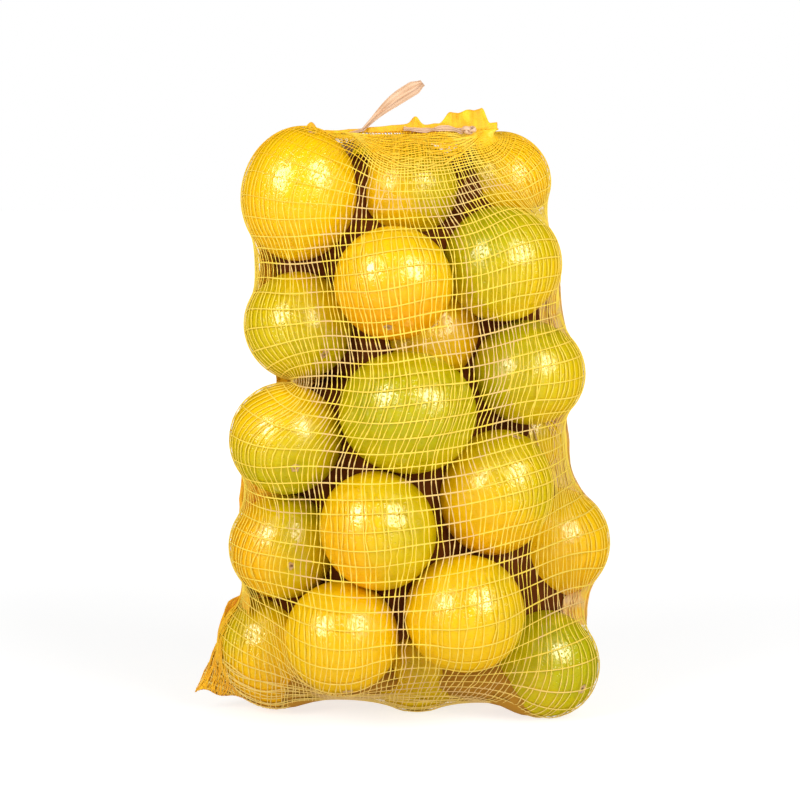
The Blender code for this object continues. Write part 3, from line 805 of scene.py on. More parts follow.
def ball_grid(count):
    """Unit directions and squares of a ball made of six patches, and no doubled points."""
    cage = bmesh.new()
    bmesh.ops.create_cube(cage, size=2.0)
    bmesh.ops.subdivide_edges(cage, edges=cage.edges, cuts=count - 1, use_grid_fill=True)
    points = np.array([vertex.co for vertex in cage.verts])
    faces = np.array([[vertex.index for vertex in face.verts] for face in cage.faces])
    cage.free()
    bent = np.tan(points * math.pi / 4)
    return bent / np.linalg.norm(bent, axis=1)[:, None], faces


def across_axes(axis):
    """Two directions square to the axis and to each other."""
    side = unit(np.cross(axis, (0.0, 0.0, 1.0) if abs(axis[2]) < 0.9 else (1.0, 0.0, 0.0)))
    return side, np.cross(axis, side)


def orange_shape(ball, across, along, rng):
    """One fruit about its own stem, which points along +Z: uneven, and sunk at both its ends."""
    lumps = np.zeros(len(ball))
    for _ in range(6):
        lumps += np.cos(ball @ (rng.normal(size=3) * 2.4) + phase(rng))
    inward = PEEL_LUMPS * (1 + lumps / 6)
    angle = np.arccos(np.clip(ball[:, 2], -1, 1))
    around = np.arctan2(ball[:, 1], ball[:, 0])
    folds = 1 + 0.16 * np.cos(5 * around + phase(rng))
    inward += STEM_DIMPLE * np.exp(-(angle / STEM_REACH) ** 2) * folds
    inward += NAVEL_DIMPLE * np.exp(-((math.pi - angle) / NAVEL_REACH) ** 2)
    shape = ball * (across, across, along)
    return shape * (1 - inward / np.linalg.norm(shape, axis=1))[:, None]


def make_oranges(middle, across, along, axis):
    """All the fruit at true size, each with its own shape and ripeness, and a deeper orange low down
    that is partly painted shade.
    """
    ball, patches = ball_grid(PEEL_GRID)
    rng = np.random.default_rng(COLOUR_SEED)
    points, faces, green, orange = [], [], [], []
    for fruit, place in enumerate(middle):
        side, front = across_axes(axis[fruit])
        turn = np.array((side, front, axis[fruit]))
        offset = orange_shape(ball, across[fruit], along[fruit], rng) @ turn
        if fruit < len(RIPENESS_AND_SHADE):
            greenness, warmth = RIPENESS_AND_SHADE[fruit]
        else:
            greenness = (rng.uniform(-0.1, 0.8), *rng.uniform(-0.4, 0.4, 2))
            warmth = (rng.uniform(0.0, 0.45), *rng.uniform(-0.3, 0.3, 2))
        outward = offset / np.linalg.norm(offset, axis=1)[:, None]
        green.append(greenness[0] + greenness[1] * outward[:, 0] + greenness[2] * outward[:, 2])
        # on most fruit the orange grows downward: partly the peel's colour, partly painted shade on
        # their lower sides
        orange.append(warmth[0] + warmth[1] * outward[:, 0] + warmth[2] * outward[:, 2])
        faces.append(patches + fruit * len(ball))
        points.append(place + offset)
    points = np.concatenate(points)
    points[:, 2] = np.maximum(points[:, 2], FLOOR_CLEAR)
    return add_piece("oranges", points, np.concatenate(faces), peel_finish(), "peel",
                     green=np.concatenate(green), orange=np.concatenate(orange))


def make_scars(middle, across, along, axis):
    """The small buttons that the stems left, sunk into the end of each fruit."""
    rng = np.random.default_rng(COLOUR_SEED + 1)
    turn = np.arange(SCAR_SIDES) * 2 * math.pi / SCAR_SIDES
    level, raised, rim = np.array(SCAR_RINGS).T
    points, faces, tones = [], [], []
    patches = squares(len(level), SCAR_SIDES, True)
    for fruit, place in enumerate(middle):
        side, front = across_axes(axis[fruit])
        star = 1 + 0.18 * np.cos(5 * turn + phase(rng)) + 0.08 * np.cos(3 * turn + phase(rng))
        size = SCAR_RADIUS * rng.uniform(0.7, 1.0)
        spread = size * level[:, None] * (1 + (star - 1)[None, :] * level[:, None])
        flat = side * (spread * np.cos(turn))[..., None] + front * (spread * np.sin(turn))[..., None]
        drop = along[fruit] * (1 - np.sqrt(1 - (spread / across[fruit]) ** 2))
        sunk = STEM_DIMPLE * np.exp(-(spread / across[fruit] / STEM_REACH) ** 2) * 0.95
        up = along[fruit] - drop - sunk - PEEL_LUMPS + raised[:, None] * SCAR_RISE
        points.append((place + flat + axis[fruit] * up[..., None]).reshape(-1, 3))
        faces.append(patches + fruit * spread.size)
        tones.append(np.repeat(rim, SCAR_SIDES))
    return add_piece("stem_scars", np.concatenate(points), np.concatenate(faces), scar_finish(),
                     "peel", rim=np.concatenate(tones))


def make_shade_core(net):
    """The dark inside of the pack, a sheet of painted shade, which closes the gaps between the fruit."""
    shell = net.grid[::2, ::2]
    heart = np.zeros_like(shell)
    heart[..., 2] = np.clip(shell[..., 2], *CORE_HEIGHTS)
    away = shell - heart
    depth, height = np.abs(shell[..., 1:2]), shell[..., 2:]
    inset = CORE_INSET_SIDE + (CORE_INSET - CORE_INSET_SIDE) * smooth_step(depth, *CORE_SIDE)
    inset = CORE_INSET_BELOW + (inset - CORE_INSET_BELOW) * smooth_step(height, *CORE_BELOW)
    inset = inset + (CORE_INSET_ABOVE - inset) * smooth_step(height, *CORE_ABOVE)
    share = np.maximum(1 - inset / np.linalg.norm(away, axis=-1, keepdims=True), 0.02)
    middle, maps = net.middle[CORE_SEEN_PAST], net.maps[CORE_SEEN_PAST]
    for _ in range(CORE_STEPS):
        depth = depth_in_fruit((heart + away * share).reshape(-1, 3), middle, maps)[1]
        share = np.where(depth.reshape(share.shape) < CORE_CLEARANCE, share * CORE_KEPT, share)
    for _ in range(CORE_SMOOTHING):
        share = np.minimum(share, (np.roll(share, 1, axis=1) + np.roll(share, -1, axis=1)) / 2)
    shell = heart + away * share
    shell[..., 0] = np.maximum(shell[..., 0], CORE_LEFT)
    # paler toward the bottom: a painted glow
    return add_piece("painted_shade_core", shell, squares(*shell.shape[:2], True), shade_core_finish(), None,
                     low=1 - smooth_step(shell[..., 2], *CORE_PALE))


# ---- open net ------------------------------------------------------------------------------------
def thread_tubes(paths, outward, half_width, half_thick, closed):
    """Four-sided tubes along paths[thread, point], lying flat against the bag."""
    threads, count = paths.shape[:2]
    if closed:
        along = np.roll(paths, -1, axis=1) - np.roll(paths, 1, axis=1)
    else:
        along = np.gradient(paths, axis=1)
    along = directions(along)
    side = directions(np.cross(along, outward))
    out = np.cross(side, along)
    wide, thick = side * half_width[..., None], out * half_thick
    ring = np.stack([paths + wide, paths + thick, paths - wide, paths - thick], axis=2)
    index = np.arange(threads * count * 4).reshape(threads, count, 4)
    near = index if closed else index[:, :-1]
    far = np.roll(index, -1, axis=1) if closed else index[:, 1:]
    turned_near, turned_far = np.roll(near, -1, axis=2), np.roll(far, -1, axis=2)
    faces = np.stack([near, turned_near, turned_far, far], axis=-1).reshape(-1, 4)
    if not closed:
        caps = np.concatenate([index[:, 0], index[:, -1, ::-1]])
        faces = np.concatenate([faces, caps])
    return ring, faces


def freedom(net, paths, out):
    """How clear of the fruit threads hang: 0 over peel, 1 over a gap, below 0 where gathered. Near 0
    they take the painted yellow glow of the peel or fold behind them.
    """
    clear = np.ones(paths.shape[:2])
    start, span = FREE_FROM
    for below in PEEL_BELOW:
        clear = np.minimum(clear, np.clip((net.depth(paths - out * below) - start) / span, 0, 1))
    for spot in YELLOW_NET:
        clear = clear * (1 - YELLOW_SHARE * np.exp(-off_centre(paths, spot) ** 2))
    height = paths[..., 2]
    start, span, pale = LOW_NET
    clear = np.maximum(clear, pale * np.clip((start - height) / span, 0, 1))
    start, span, yellow = NECK_YELLOW
    clear = clear * (1 - yellow * np.clip((height - start) / span, 0, 1))
    start, span, orange = NECK_ORANGE
    return clear - orange * np.clip((height - start) / span, 0, 1)


def pulled_askew(grid):
    """How far, in metres along x, the warps are pulled aside at each point of the front."""
    x, y, z = np.moveaxis(grid, -1, 0)
    shift = np.zeros_like(x)
    for (at_x, at_z), (reach_x, reach_z), lean in NET_PULLS:
        rise = (z - at_z * MM) / (reach_z * MM)
        beside = (x - at_x * MM) / (reach_x * MM)
        shift += lean * MM * rise * np.exp(-(rise ** 2 + beside ** 2) / 2)
    return shift * (y < 0.02)


def bedded(paths):
    """How thin the threads look where they bed into the peel: 1 is their own width."""
    near = np.exp(-off_centre(paths, THIN_OVER) ** 2) * (paths[..., 1] < 0)
    return 1 - (1 - THINNEST) * near


def uneven_width(shape, rng):
    """Widths that wander along each thread."""
    steps = shape[1] // WIDTH_POINTS + 2
    rough = rng.uniform(*THREAD_UNEVEN, (shape[0], steps))
    at = np.linspace(0, steps - 1.001, shape[1])
    low = at.astype(int)
    return rough[:, low] * (1 - at + low) + rough[:, low + 1] * (at - low)


def add_threads(name, net, paths, out, width, finish, closed=False):
    """Threads as one piece, with how free they hang."""
    tubes, faces = thread_tubes(paths, out, width, THREAD_THICK / 2, closed)
    free = np.repeat(freedom(net, paths, out), 4, axis=1)
    return add_piece(name, tubes, faces, finish, "net", free=free)


def make_warps(net, finish):
    """Threads that run from the bottom seam up to the mouth."""
    rng = np.random.default_rng(THREAD_SEED)
    columns, rows = net.columns, net.rows
    row = np.linspace(0, rows, rows * 2 + 1)[None, :] * np.ones((columns, 1))
    spread = rng.uniform(-WARP_SPREAD, WARP_SPREAD, (columns, 1))
    column = np.arange(columns)[:, None] + spread + 0 * row
    for _ in range(WARP_WAVES):
        wave = rng.normal(size=2) * WARP_RATES
        wobble = np.sin(column * wave[0] + row * wave[1] + phase(rng))
        column = column + WARP_SWAY * wobble * np.sin(math.pi * row / rows)
    stray = rng.normal(0, WARP_JITTER, (columns, rows // 2 + 2))
    knot_at = np.clip(row[0] / 2, 0, rows // 2)
    low = knot_at.astype(int)
    column = column + stray[:, low] * (1 - knot_at + low) + stray[:, low + 1] * (knot_at - low)
    spacing = np.linalg.norm(np.roll(net.grid, -1, axis=1) - net.grid, axis=2).mean()
    askew = sample(pulled_askew(net.grid)[..., None], row, column)[..., 0]
    column = column + askew / spacing
    paths, out = net.lay(row, column)
    knots = np.cos(math.pi * (row - 1)) * 0.5 + 0.5
    width = WARP_WIDTH / 2 * (0.8 + KNOT_SWELL * knots ** 6) * uneven_width(paths.shape[:2], rng)
    width = width * bedded(paths)
    half = columns // 2
    for name, part in (("net_warps_front", slice(0, half)), ("net_warps_back", slice(half, None))):
        yield add_threads(name, net, paths[part], out[part], width[part], finish)


def gathered(net, row, column):
    """Rows after the net is pinched together under the hem and sags beside it, in front only."""
    rows = net.rows
    pinch, below = GATHER
    pinch_reach, reach_rows, strength = GATHER_REACH
    middle, middle_reach, sag = SWAG
    x, y, _ = np.moveaxis(sample(net.grid, np.clip(row, 0, rows), column), -1, 0)
    in_front = y < FRONT_OF
    near = np.exp(-((x - pinch) / pinch_reach) ** 2) * in_front
    high = smooth_step(row, rows - reach_rows, reach_rows * GATHER_RISE)
    slack = np.exp(-((x - middle) / middle_reach) ** 2) * in_front * high
    return row + strength * near * high * (rows - below - row) - sag * slack * (1 - near)


def weft_rows(rows, level, turn, rng):
    """The row of each weft along its way around the bag."""
    row = level[:, None] + rng.uniform(-WEFT_SPREAD, WEFT_SPREAD, (len(level), 1)) + 0 * turn
    fade = np.clip(row / 12, 0, 1) * np.clip((rows - row) / 14, 0, 1)
    row = row + (WEFT_CURVE * np.cos(turn) ** 2 - WEFT_TILT * np.cos(turn)) * fade
    for _ in range(WEFT_WAVES):
        waves, lean = rng.integers(2, 11), rng.normal() * 0.07
        row = row + WEFT_SWAY * fade * np.sin(waves * turn + row * lean + phase(rng))
    return row


def make_wefts(net, finish):
    """Threads that run around the bag. They crowd together where the neck is gathered."""
    rng = np.random.default_rng(THREAD_SEED + 1)
    open_net, neck = np.arange(1, NECK_START, 2), np.arange(NECK_START, net.rows - 0.5, NECK_STEP)
    levels = np.concatenate([open_net, neck])
    column = np.arange(0, net.columns, 0.5)[None, :] + 0 * levels[:, None]
    row = weft_rows(net.rows, levels, 2 * math.pi * column / net.columns, rng)
    paths, out = net.lay(gathered(net, row, column), column)
    width = WEFT_WIDTH / 2 * uneven_width(paths.shape[:2], rng) * bedded(paths)
    return add_threads("net_wefts", net, paths, out, width, finish, True)


def strands(name, net, row, column, width, finish, rng, lift=0.0):
    """Loose lengths of thread that follow the net at given rows and columns."""
    paths, out = net.lay(row, column, lift)
    return add_threads(name, net, paths, out, width / 2 * uneven_width(paths.shape[:2], rng), finish)


def make_neck(net, finish):
    """Bunched wefts that hang in swags under the hem, from the pinch towards the right."""
    rng = np.random.default_rng(THREAD_SEED + 2)
    rows = net.rows
    lowest, highest, count = SWAG_ROWS
    level = np.linspace(lowest, highest, count)[:, None] + rng.uniform(-0.35, 0.35, (count, 1))
    u = np.linspace(0, 1, 200)[None, :]
    start, end = SWAG_COLUMNS
    column = start + (end - start) * u + rng.uniform(-1.2, 1.2, (count, 1))
    sag = (u ** SWAG_POWER * (1 - u)) / (SWAG_DEEPEST ** SWAG_POWER * (1 - SWAG_DEEPEST))
    row = rows - 1.2 - (rows - 1.2 - level) * sag + SWAG_END * (level - highest) / rows * u
    row = row + 0.22 * np.sin(column * 0.9 + phase(rng, (count, 1)))
    row = np.clip(row + 0.25 * np.sin(column * 0.31 + phase(rng, (count, 1))), 0, rows - 0.3)
    return strands("net_neck", net, row, column, WEFT_WIDTH * SWAG_WIDTH, finish, rng, THREAD_THICK)


def make_seam(net, finish):
    """Wefts that lie bunched over the bottom, where the net is sewn shut."""
    rng = np.random.default_rng(THREAD_SEED + 6)
    low, high, count = SEAM_ROWS
    level = np.linspace(low, high, count)[:, None] + rng.uniform(-0.3, 0.3, (count, 1))
    column = np.linspace(*SEAM_COLUMNS, 220)[None, :] + 0 * level
    wave = np.sin(column * 0.17 + phase(rng, (count, 1)))
    row = level + 0.35 * wave + 0.2 * np.sin(column * 0.7 + phase(rng, (count, 1)))
    return strands("net_seam", net, row, column, WEFT_WIDTH, finish, rng)


def make_neck_folds(net, finish):
    """Folds of net that lie close together under the hem, with an edge that runs up and down."""
    low, high = NECK_FOLD_ROWS
    columns = np.linspace(*NECK_COLUMNS, 260)
    edge = low + 0.7 * np.sin(columns * 0.21 + 0.8) + 0.4 * np.sin(columns * 0.53)
    at, reach = NECK_BARE
    edge = np.minimum(edge + 2.0 * np.exp(-((columns - at) / reach) ** 4), high - 0.45)
    share = np.linspace(0, 1, 46)[:, None]
    row = edge + (high - edge) * share
    column = columns[None, :] + 0 * row
    out = sample(net.outward, row, column)
    pleat = np.sin(row * 3.1 + 1.2 * np.sin(column * 0.23)) * 0.6 + np.sin(row * 1.3 - column * 0.11)
    sheet = net.clear(sample(net.grid, row, column) - out * (0.0012 - 0.0006 * pleat[..., None]))
    # deeper on the sunken side of each pleat: painted shade
    return add_piece("net_neck_folds", sheet, squares(*row.shape), finish, "net",
                     free=0.4 - 0.5 * pleat)


# ---- folded net ----------------------------------------------------------------------------------
def side_edge(net, side, count):
    """The line along which the bag reaches farthest to one side, smoothed."""
    column = (net.grid[..., 0] * side).argmax(axis=1).astype(float)
    if side < 0:
        column = np.where(column > net.columns / 2, column - net.columns, column)
    padded = np.pad(column, 4, mode="edge")
    column = np.mean([padded[shift:shift + len(column)] for shift in range(9)], axis=0)
    row = np.linspace(5, net.rows - 5, count)
    return sample(net.grid, row, np.interp(row, np.arange(net.rows + 1), column))


def make_selvage(name, net, side, spans, finish):
    """A side edge of the flat bag: net in several layers, which spans the dips in a fold."""
    rng = np.random.default_rng(THREAD_SEED + 3 + side)
    inner = side_edge(net, side, FOLD_POINTS)
    outer = inner.copy()
    mask = np.zeros(len(inner))
    for low, high, share in spans:
        rise = np.clip(np.minimum(inner[:, 2] - low, high - inner[:, 2]) / FOLD_TAPER, 0, 1)
        mask = np.maximum(mask, rise * share)
    for _ in range(FOLD_STEPS):
        outer[1:-1] = (outer[2:] + outer[:-2]) / 2
        outer = net.clear(outer)
    outer = inner + (outer - inner) * mask[:, None]
    along = np.linspace(0, 1, len(inner))
    inner = inner - np.array((side * FOLD_ROOT, 0.0, 0.0))
    share = np.linspace(0, 1, 15)[:, None]
    web = inner[None] + (outer - inner)[None] * share[..., None]
    ripple = np.sin(along * 260 + 4 * share) * 0.6 + np.sin(along * 95 - 7 * share)
    web[..., 1] += FOLD_GAP * 0.5 * ripple
    keep = mask > 0.05
    faces = squares(*web.shape[:2])[:, keep[:-1] & keep[1:]]
    # deeper in the ripples that lie farther back: painted shade
    fold = add_piece(name, web, faces, finish, "net", free=0.3 + 0.5 * ripple)
    strand = np.linspace(0, 1, FOLD_STRANDS)[:, None] + rng.uniform(-0.05, 0.05, (FOLD_STRANDS, 1))
    strand = np.clip(strand + 0.06 * np.sin(along * rng.uniform(30, 60, (FOLD_STRANDS, 1))), 0, 1)
    paths = inner[None] + (outer - inner)[None] * strand[..., None]
    paths[..., 1] -= FOLD_GAP * 1.2
    paths = net.clear(paths)
    points, patches = [], []
    turns = np.flatnonzero(np.diff(keep.astype(int))) + 1
    for start, end in zip(turns[::2], turns[1::2]):
        part = paths[:, start:end]
        out = np.broadcast_to((side * 0.5, -0.85, 0.0), part.shape)
        wide = np.full(part.shape[:2], WARP_WIDTH * 0.55)
        tubes, faces = thread_tubes(part, out, wide, THREAD_THICK / 2, False)
        patches.append(faces + sum(len(tube) for tube in points))
        points.append(tubes.reshape(-1, 3))
    points = np.concatenate(points)
    add_piece(name + "_strands", points, np.concatenate(patches), finish, "net",
              free=np.full(len(points), 0.1))
    return fold


def make_corner(net, finish):
    """The standing corner and the bottom edge beside it: net in closed folds, and its strands."""
    rng = np.random.default_rng(THREAD_SEED + 4)
    back, front = CORNER_COLUMNS
    up, around = CORNER_FINENESS
    row, column = np.meshgrid(np.linspace(0, CORNER_ROWS, up), np.linspace(-back, front, around),
                              indexing="ij")
    crumple = np.sin(column * 1.9 + 0.5 * np.sin(row * 0.7)) * 0.5 + np.sin(column * 0.8 + row * 0.35)
    sheet = sample(net.grid, row, column)
    sheet = sheet - sample(net.outward, row, column) * (0.0009 - 0.0005 * crumple[..., None])
    depth = depth_in_fruit(sheet.reshape(-1, 3), net.middle[:-1], net.maps[:-1])[1].reshape(row.shape)
    away = depth - 1.03 - 0.004 * np.abs(column - 2)
    keep = (away > 0) & (column < CORNER_CLOSED) | (away > -0.05) & (sheet[..., 2] < 0.010)
    sheet[..., 2] = np.maximum(sheet[..., 2], 0.0002)
    whole = keep[:-1, :-1] & keep[:-1, 1:] & keep[1:, 1:] & keep[1:, :-1]
    add_piece("net_corner_folds", sheet, squares(*row.shape)[whole], finish, "net",
              free=0.5 + 0.4 * crumple)
    count = int((front + back) * CORNER_STRANDS)
    place = np.linspace(-back, front, count)[:, None] + rng.uniform(-0.3, 0.3, (count, 1))
    rise = CORNER_ROWS * np.exp(-(place / CORNER_TAPER) ** 2) * rng.uniform(0.75, 1.05, (count, 1)) + 3
    row = np.linspace(0, 1, 60)[None, :] * rise
    column = place + 0.5 * np.sin(row * 0.5 + phase(rng, (count, 1)))
    return strands("net_corner", net, row, column, WARP_WIDTH * 1.2, finish, rng, THREAD_THICK * 0.5)


# ---- hem and drawstring --------------------------------------------------------------------------
def hem_line(x):
    """How far forward the hem's middle line lies at x."""
    share = (x - MOUTH_LEFT[0]) / (MOUTH_RIGHT[0] - MOUTH_LEFT[0])
    snake = HEM_SNAKE * np.sin(HEM_WAVES * math.pi * share)
    return MOUTH_LEFT[1] + share * (MOUTH_RIGHT[1] - MOUTH_LEFT[1]) + snake


def hem_height(x):
    """How tall the hem stands at x, with its peaks and its ruffle."""
    extra = sum(height * np.exp(-((x - place) / width) ** 2) for place, height, width in HEM_PEAKS)
    start, end = RUFFLE_SPAN
    slope = 0.62 + 0.38 * (x - start) / (end - start) + RUFFLE_NICK * np.sin(RUFFLE_LOBES * (x - start))
    rise = smooth_step(x, start - 0.004, 0.008) * smooth_step(end - x, 0, 0.006)
    low, high = HEM_SWELL
    swell = low + (high - low) * smooth_step(x, -0.045, 0.045)
    return HEM_HEIGHT * swell + extra + RUFFLE_HEIGHT * rise * slope


def band(name, middle, thickness, finish, slot, **values):
    """A closed band about the surface middle[along, across], with rounded edges."""
    run, wide = np.gradient(middle, axis=0), np.gradient(middle, axis=1)
    normal = directions(np.cross(run, wide))
    share = np.linspace(-1, 1, middle.shape[1])
    half = thickness / 2 * (1 - 0.75 * share ** 8)
    front = middle + normal * half[None, :, None]
    rear = middle - normal * half[None, :, None]
    ring = np.concatenate([front, rear[:, ::-1]], axis=1)
    count, around = ring.shape[:2]
    at = np.arange(middle.shape[1] - 1)
    cap = np.stack([at, at + 1, around - 2 - at, around - 1 - at], axis=-1)
    faces = np.concatenate([squares(count, around, True).reshape(-1, 4), cap[:, ::-1],
                            cap + (count - 1) * around])
    numbers = {label: np.concatenate([value, value[:, ::-1]], axis=1) for label, value in values.items()}
    return add_piece(name, ring, faces, finish, slot, **numbers)


def make_hem(height, finish):
    """The rolled hem: many small pleats, two peaks, and a ruffle that stands up in folds."""
    left, right = MOUTH_LEFT[0] - 0.002, MOUTH_RIGHT[0] - 0.001
    x = np.linspace(left, right, HEM_COLUMNS)[:, None]
    v = np.linspace(0, 1, HEM_ROWS)[None, :]
    tall = hem_height(x)
    raised = smooth_step(tall * v, HEM_HEIGHT, 2 * HEM_HEIGHT)
    pleat = np.sin(PLEAT_WAVES * x + 1.7 * np.sin(PLEAT_WAVES * 0.13 * x) + 1.4 * v)
    ruffle = np.sin(RUFFLE_WAVES * x + 0.8 * v) * raised
    fold = RUFFLE_FOLD * ruffle + PLEAT * pleat * (0.4 + 0.6 * v) * (1 - 0.6 * raised)
    y = hem_line(x) + fold + RUFFLE_LEAN * tall * v
    low = height(x, hem_line(x)) + SEATED
    ragged = 1 + 0.03 * np.sin(PLEAT_WAVES * 0.21 * x + 1.0) * v
    z = low + tall * v * ragged - 0.0008
    middle = np.stack(np.broadcast_arrays(x, y, z), axis=-1)
    # the hem's tone deepens in the ruffle's folds that lie back, as painted shade, and varies with its
    # pleats
    return band("hem", middle, HEM_THICK * 0.55, finish, "hem", free=0.25 - 0.25 * pleat + 0.7 * ruffle)


def tape_values(length, width, crease):
    """Where each point of a tape lies along it and across it, in metres, and its painted shade."""
    along, across = np.meshgrid(np.linspace(0, length, crease.shape[0]),
                                np.linspace(-width / 2, width / 2, crease.shape[1]), indexing="ij")
    return {"along": along, "across": across, "crease": crease}


def make_run(height, finish):
    """The drawstring along the front of the hem: a tape folded lengthwise and half twisted."""
    start, end = RUN_SPAN
    u = np.linspace(0, 1, 90)[:, None]
    v = np.linspace(-1, 1, 9)[None, :]
    x = start + u * (end - start) + 0 * v
    centre = hem_line(x) - HEM_THICK / 2 - 0.0011
    level = height(x, centre) + SEATED + RUN_WIDTH * 0.52
    twist = 0.75 * np.sin(9.5 * u) + 0.25 * np.sin(23 * u)
    width = RUN_WIDTH / 2 * (0.75 + 0.45 * u)
    valley = 0.0006 * np.cos(2.2 * math.pi * v)
    y = centre - valley + np.sin(twist) * width * v * 0.55
    z = level + np.cos(twist) * width * v
    middle = np.stack([x, y, z], axis=-1)
    # painted shade: darker in the valley of the tape's lengthwise fold and where its twist turns it
    # edge-on
    crease = 0.55 * (np.cos(2.2 * math.pi * v) < -0.2) + 0.25 * np.abs(np.sin(twist)) + 0 * x
    return band("drawstring", middle, TAPE_THICK * 0.6, finish, "tape",
                **tape_values(end - start, RUN_WIDTH, crease))


def make_knot(height, finish):
    """An overhand knot in the tape, pulled tight."""
    long, deep, tall = KNOT_SIZE
    x = RUN_SPAN[1] - 0.002 + long / 2
    y = hem_line(x) - HEM_THICK / 2 - deep * 0.6
    z = float(height(x, y)) + SEATED + tall * 0.5 + KNOT_LIFT
    turn = np.linspace(0, 2 * math.pi, 121)[:-1]
    shape = np.stack([np.sin(turn) + 2 * np.sin(2 * turn), -np.sin(3 * turn) * 1.3,
                      np.cos(turn) - 2 * np.cos(2 * turn)], axis=-1)
    shape /= np.abs(shape).max(axis=0)
    path = np.array((x, y, z)) + shape * np.array((long, deep, tall)) * (0.36, 0.30, 0.30)
    around = np.arange(KNOT_SIDES) * 2 * math.pi / KNOT_SIDES
    tube, faces = round_tube(path, directions(path - np.array((x, y, z))), *KNOT_SECTION, around)
    along = np.repeat(np.linspace(0, KNOT_TAPE, len(path))[:, None], KNOT_SIDES, axis=1)
    # painted shade on the side of the tape that faces into the knot
    return add_piece("drawstring_tie", tube, faces, finish, "tape", along=along,
                     across=np.tile(np.cos(around) * 0.0015, (len(path), 1)),
                     crease=np.tile(0.25 - 0.3 * np.sin(around), (len(path), 1)))


def round_tube(path, outward, half_width, half_thick, turn):
    """A closed tube of oval section about a closed path."""
    along = directions(np.roll(path, -1, axis=0) - np.roll(path, 1, axis=0))
    side = directions(np.cross(along, outward))
    out = np.cross(side, along)
    ring = (path[:, None] + side[:, None] * (half_width * np.cos(turn))[None, :, None]
            + out[:, None] * (half_thick * np.sin(turn))[None, :, None])
    index = np.arange(len(path) * len(turn)).reshape(len(path), len(turn))
    far = np.roll(index, -1, axis=0)
    return ring, np.stack([index, np.roll(index, -1, axis=1), np.roll(far, -1, axis=1), far], axis=-1)


def leaf(u, v, base, tip, front):
    """The surface of the tape that stands up from the hem, bent back on itself."""
    run_x, run_z = tip[0] - base[0], tip[1] - base[1]
    length = math.hypot(run_x, run_z)
    side_x, side_z = -run_z / length, run_x / length
    swell = 0.22 + 0.78 * smooth_step(u, 0, 0.72)
    taper = 1 - 0.5 * smooth_step(u, 0.86, 0.14)
    width = LOOP_WIDTH * swell * taper
    off = LOOP_BOW * np.sin(math.pi * u) + width * (v - 0.5)
    curl = LOOP_CURL * (2 * v - 1) ** 2 * smooth_step(u, 0, 0.5)
    wave = 0.0006 * np.sin(17 * u + 3 * v) + 0.0003 * np.sin(5 * math.pi * v)
    return np.stack([base[0] + run_x * u + side_x * off, front - curl + wave + 0 * u,
                     base[1] + run_z * u + side_z * off], axis=-1)


def make_loop(height, finish):
    """The standing loop of the drawstring: a wide leaf and the narrow fold along its lower edge."""
    front = float(hem_line(np.array(LOOP_BASE))) - HEM_THICK / 2 - TAPE_THICK - 2 * SEATED
    base = (LOOP_BASE, float(height(LOOP_BASE, front)) + SEATED + LOOP_LIFT)
    u, v = np.linspace(0, 1, 110)[:, None], np.linspace(0, 1, 25)[None, :]
    length = math.hypot(LOOP_TIP[0] - base[0], LOOP_TIP[1] - base[1])
    # painted shade along the leaf's lower edge, at its tip, in the crease where it folds back and along
    # its upper edge
    crease = 0.35 * smooth_step(0.30 - v, 0, 0.2) + 0.35 * smooth_step(u, 0.90, 0.1)
    crease = crease + 0.75 * np.exp(-((v - 0.34) / 0.04) ** 2) + 0.25 * smooth_step(v, 0.9, 0.1)
    band("drawstring_leaf", leaf(u, v, base, LOOP_TIP, front), TAPE_THICK, finish, "tape",
         **tape_values(length, LOOP_WIDTH, crease + 0 * u * v))
    v = np.linspace(-0.02, 0.31, 11)[None, :]
    # painted shade toward the crease above it and at its tip
    crease = 0.25 + 0.35 * smooth_step(v, 0.22, 0.09) + 0.3 * smooth_step(u, 0.9, 0.1)
    fold = leaf(u, v, base, LOOP_TIP, front - 0.0012)
    return band("drawstring_fold", fold, TAPE_THICK * 0.7, finish, "tape",
                **tape_values(length, LOOP_WIDTH * 0.33, crease + 0 * u * v))


def narrow_tape(name, points, width, finish):
    """A narrow end of tape through given points, facing forward."""
    points = np.array(points)
    at, corners = np.linspace(0, len(points) - 1, 60), np.arange(len(points))
    path = np.stack([np.interp(at, corners, places) for places in points.T], axis=-1)
    for _ in range(30):
        path[1:-1] = (path[2:] + path[:-2] + 2 * path[1:-1]) / 4
    along = np.gradient(path, axis=0)
    side = directions(np.cross(along, (0.0, -1.0, 0.0)))
    v = np.linspace(-1, 1, 7)
    middle = path[:, None] + side[:, None] * (v * width / 2)[None, :, None]
    middle[..., 1] -= 0.0004 * np.cos(2 * math.pi * v)[None, :]
    # painted shade in the crease down its middle
    crease = np.tile(0.2 + 0.4 * (np.abs(v) < 0.4), (len(path), 1)).astype(float)
    length = np.linalg.norm(np.diff(path, axis=0), axis=1).sum()
    return band(name, middle, TAPE_THICK * 0.5, finish, "tape", **tape_values(length, width, crease))


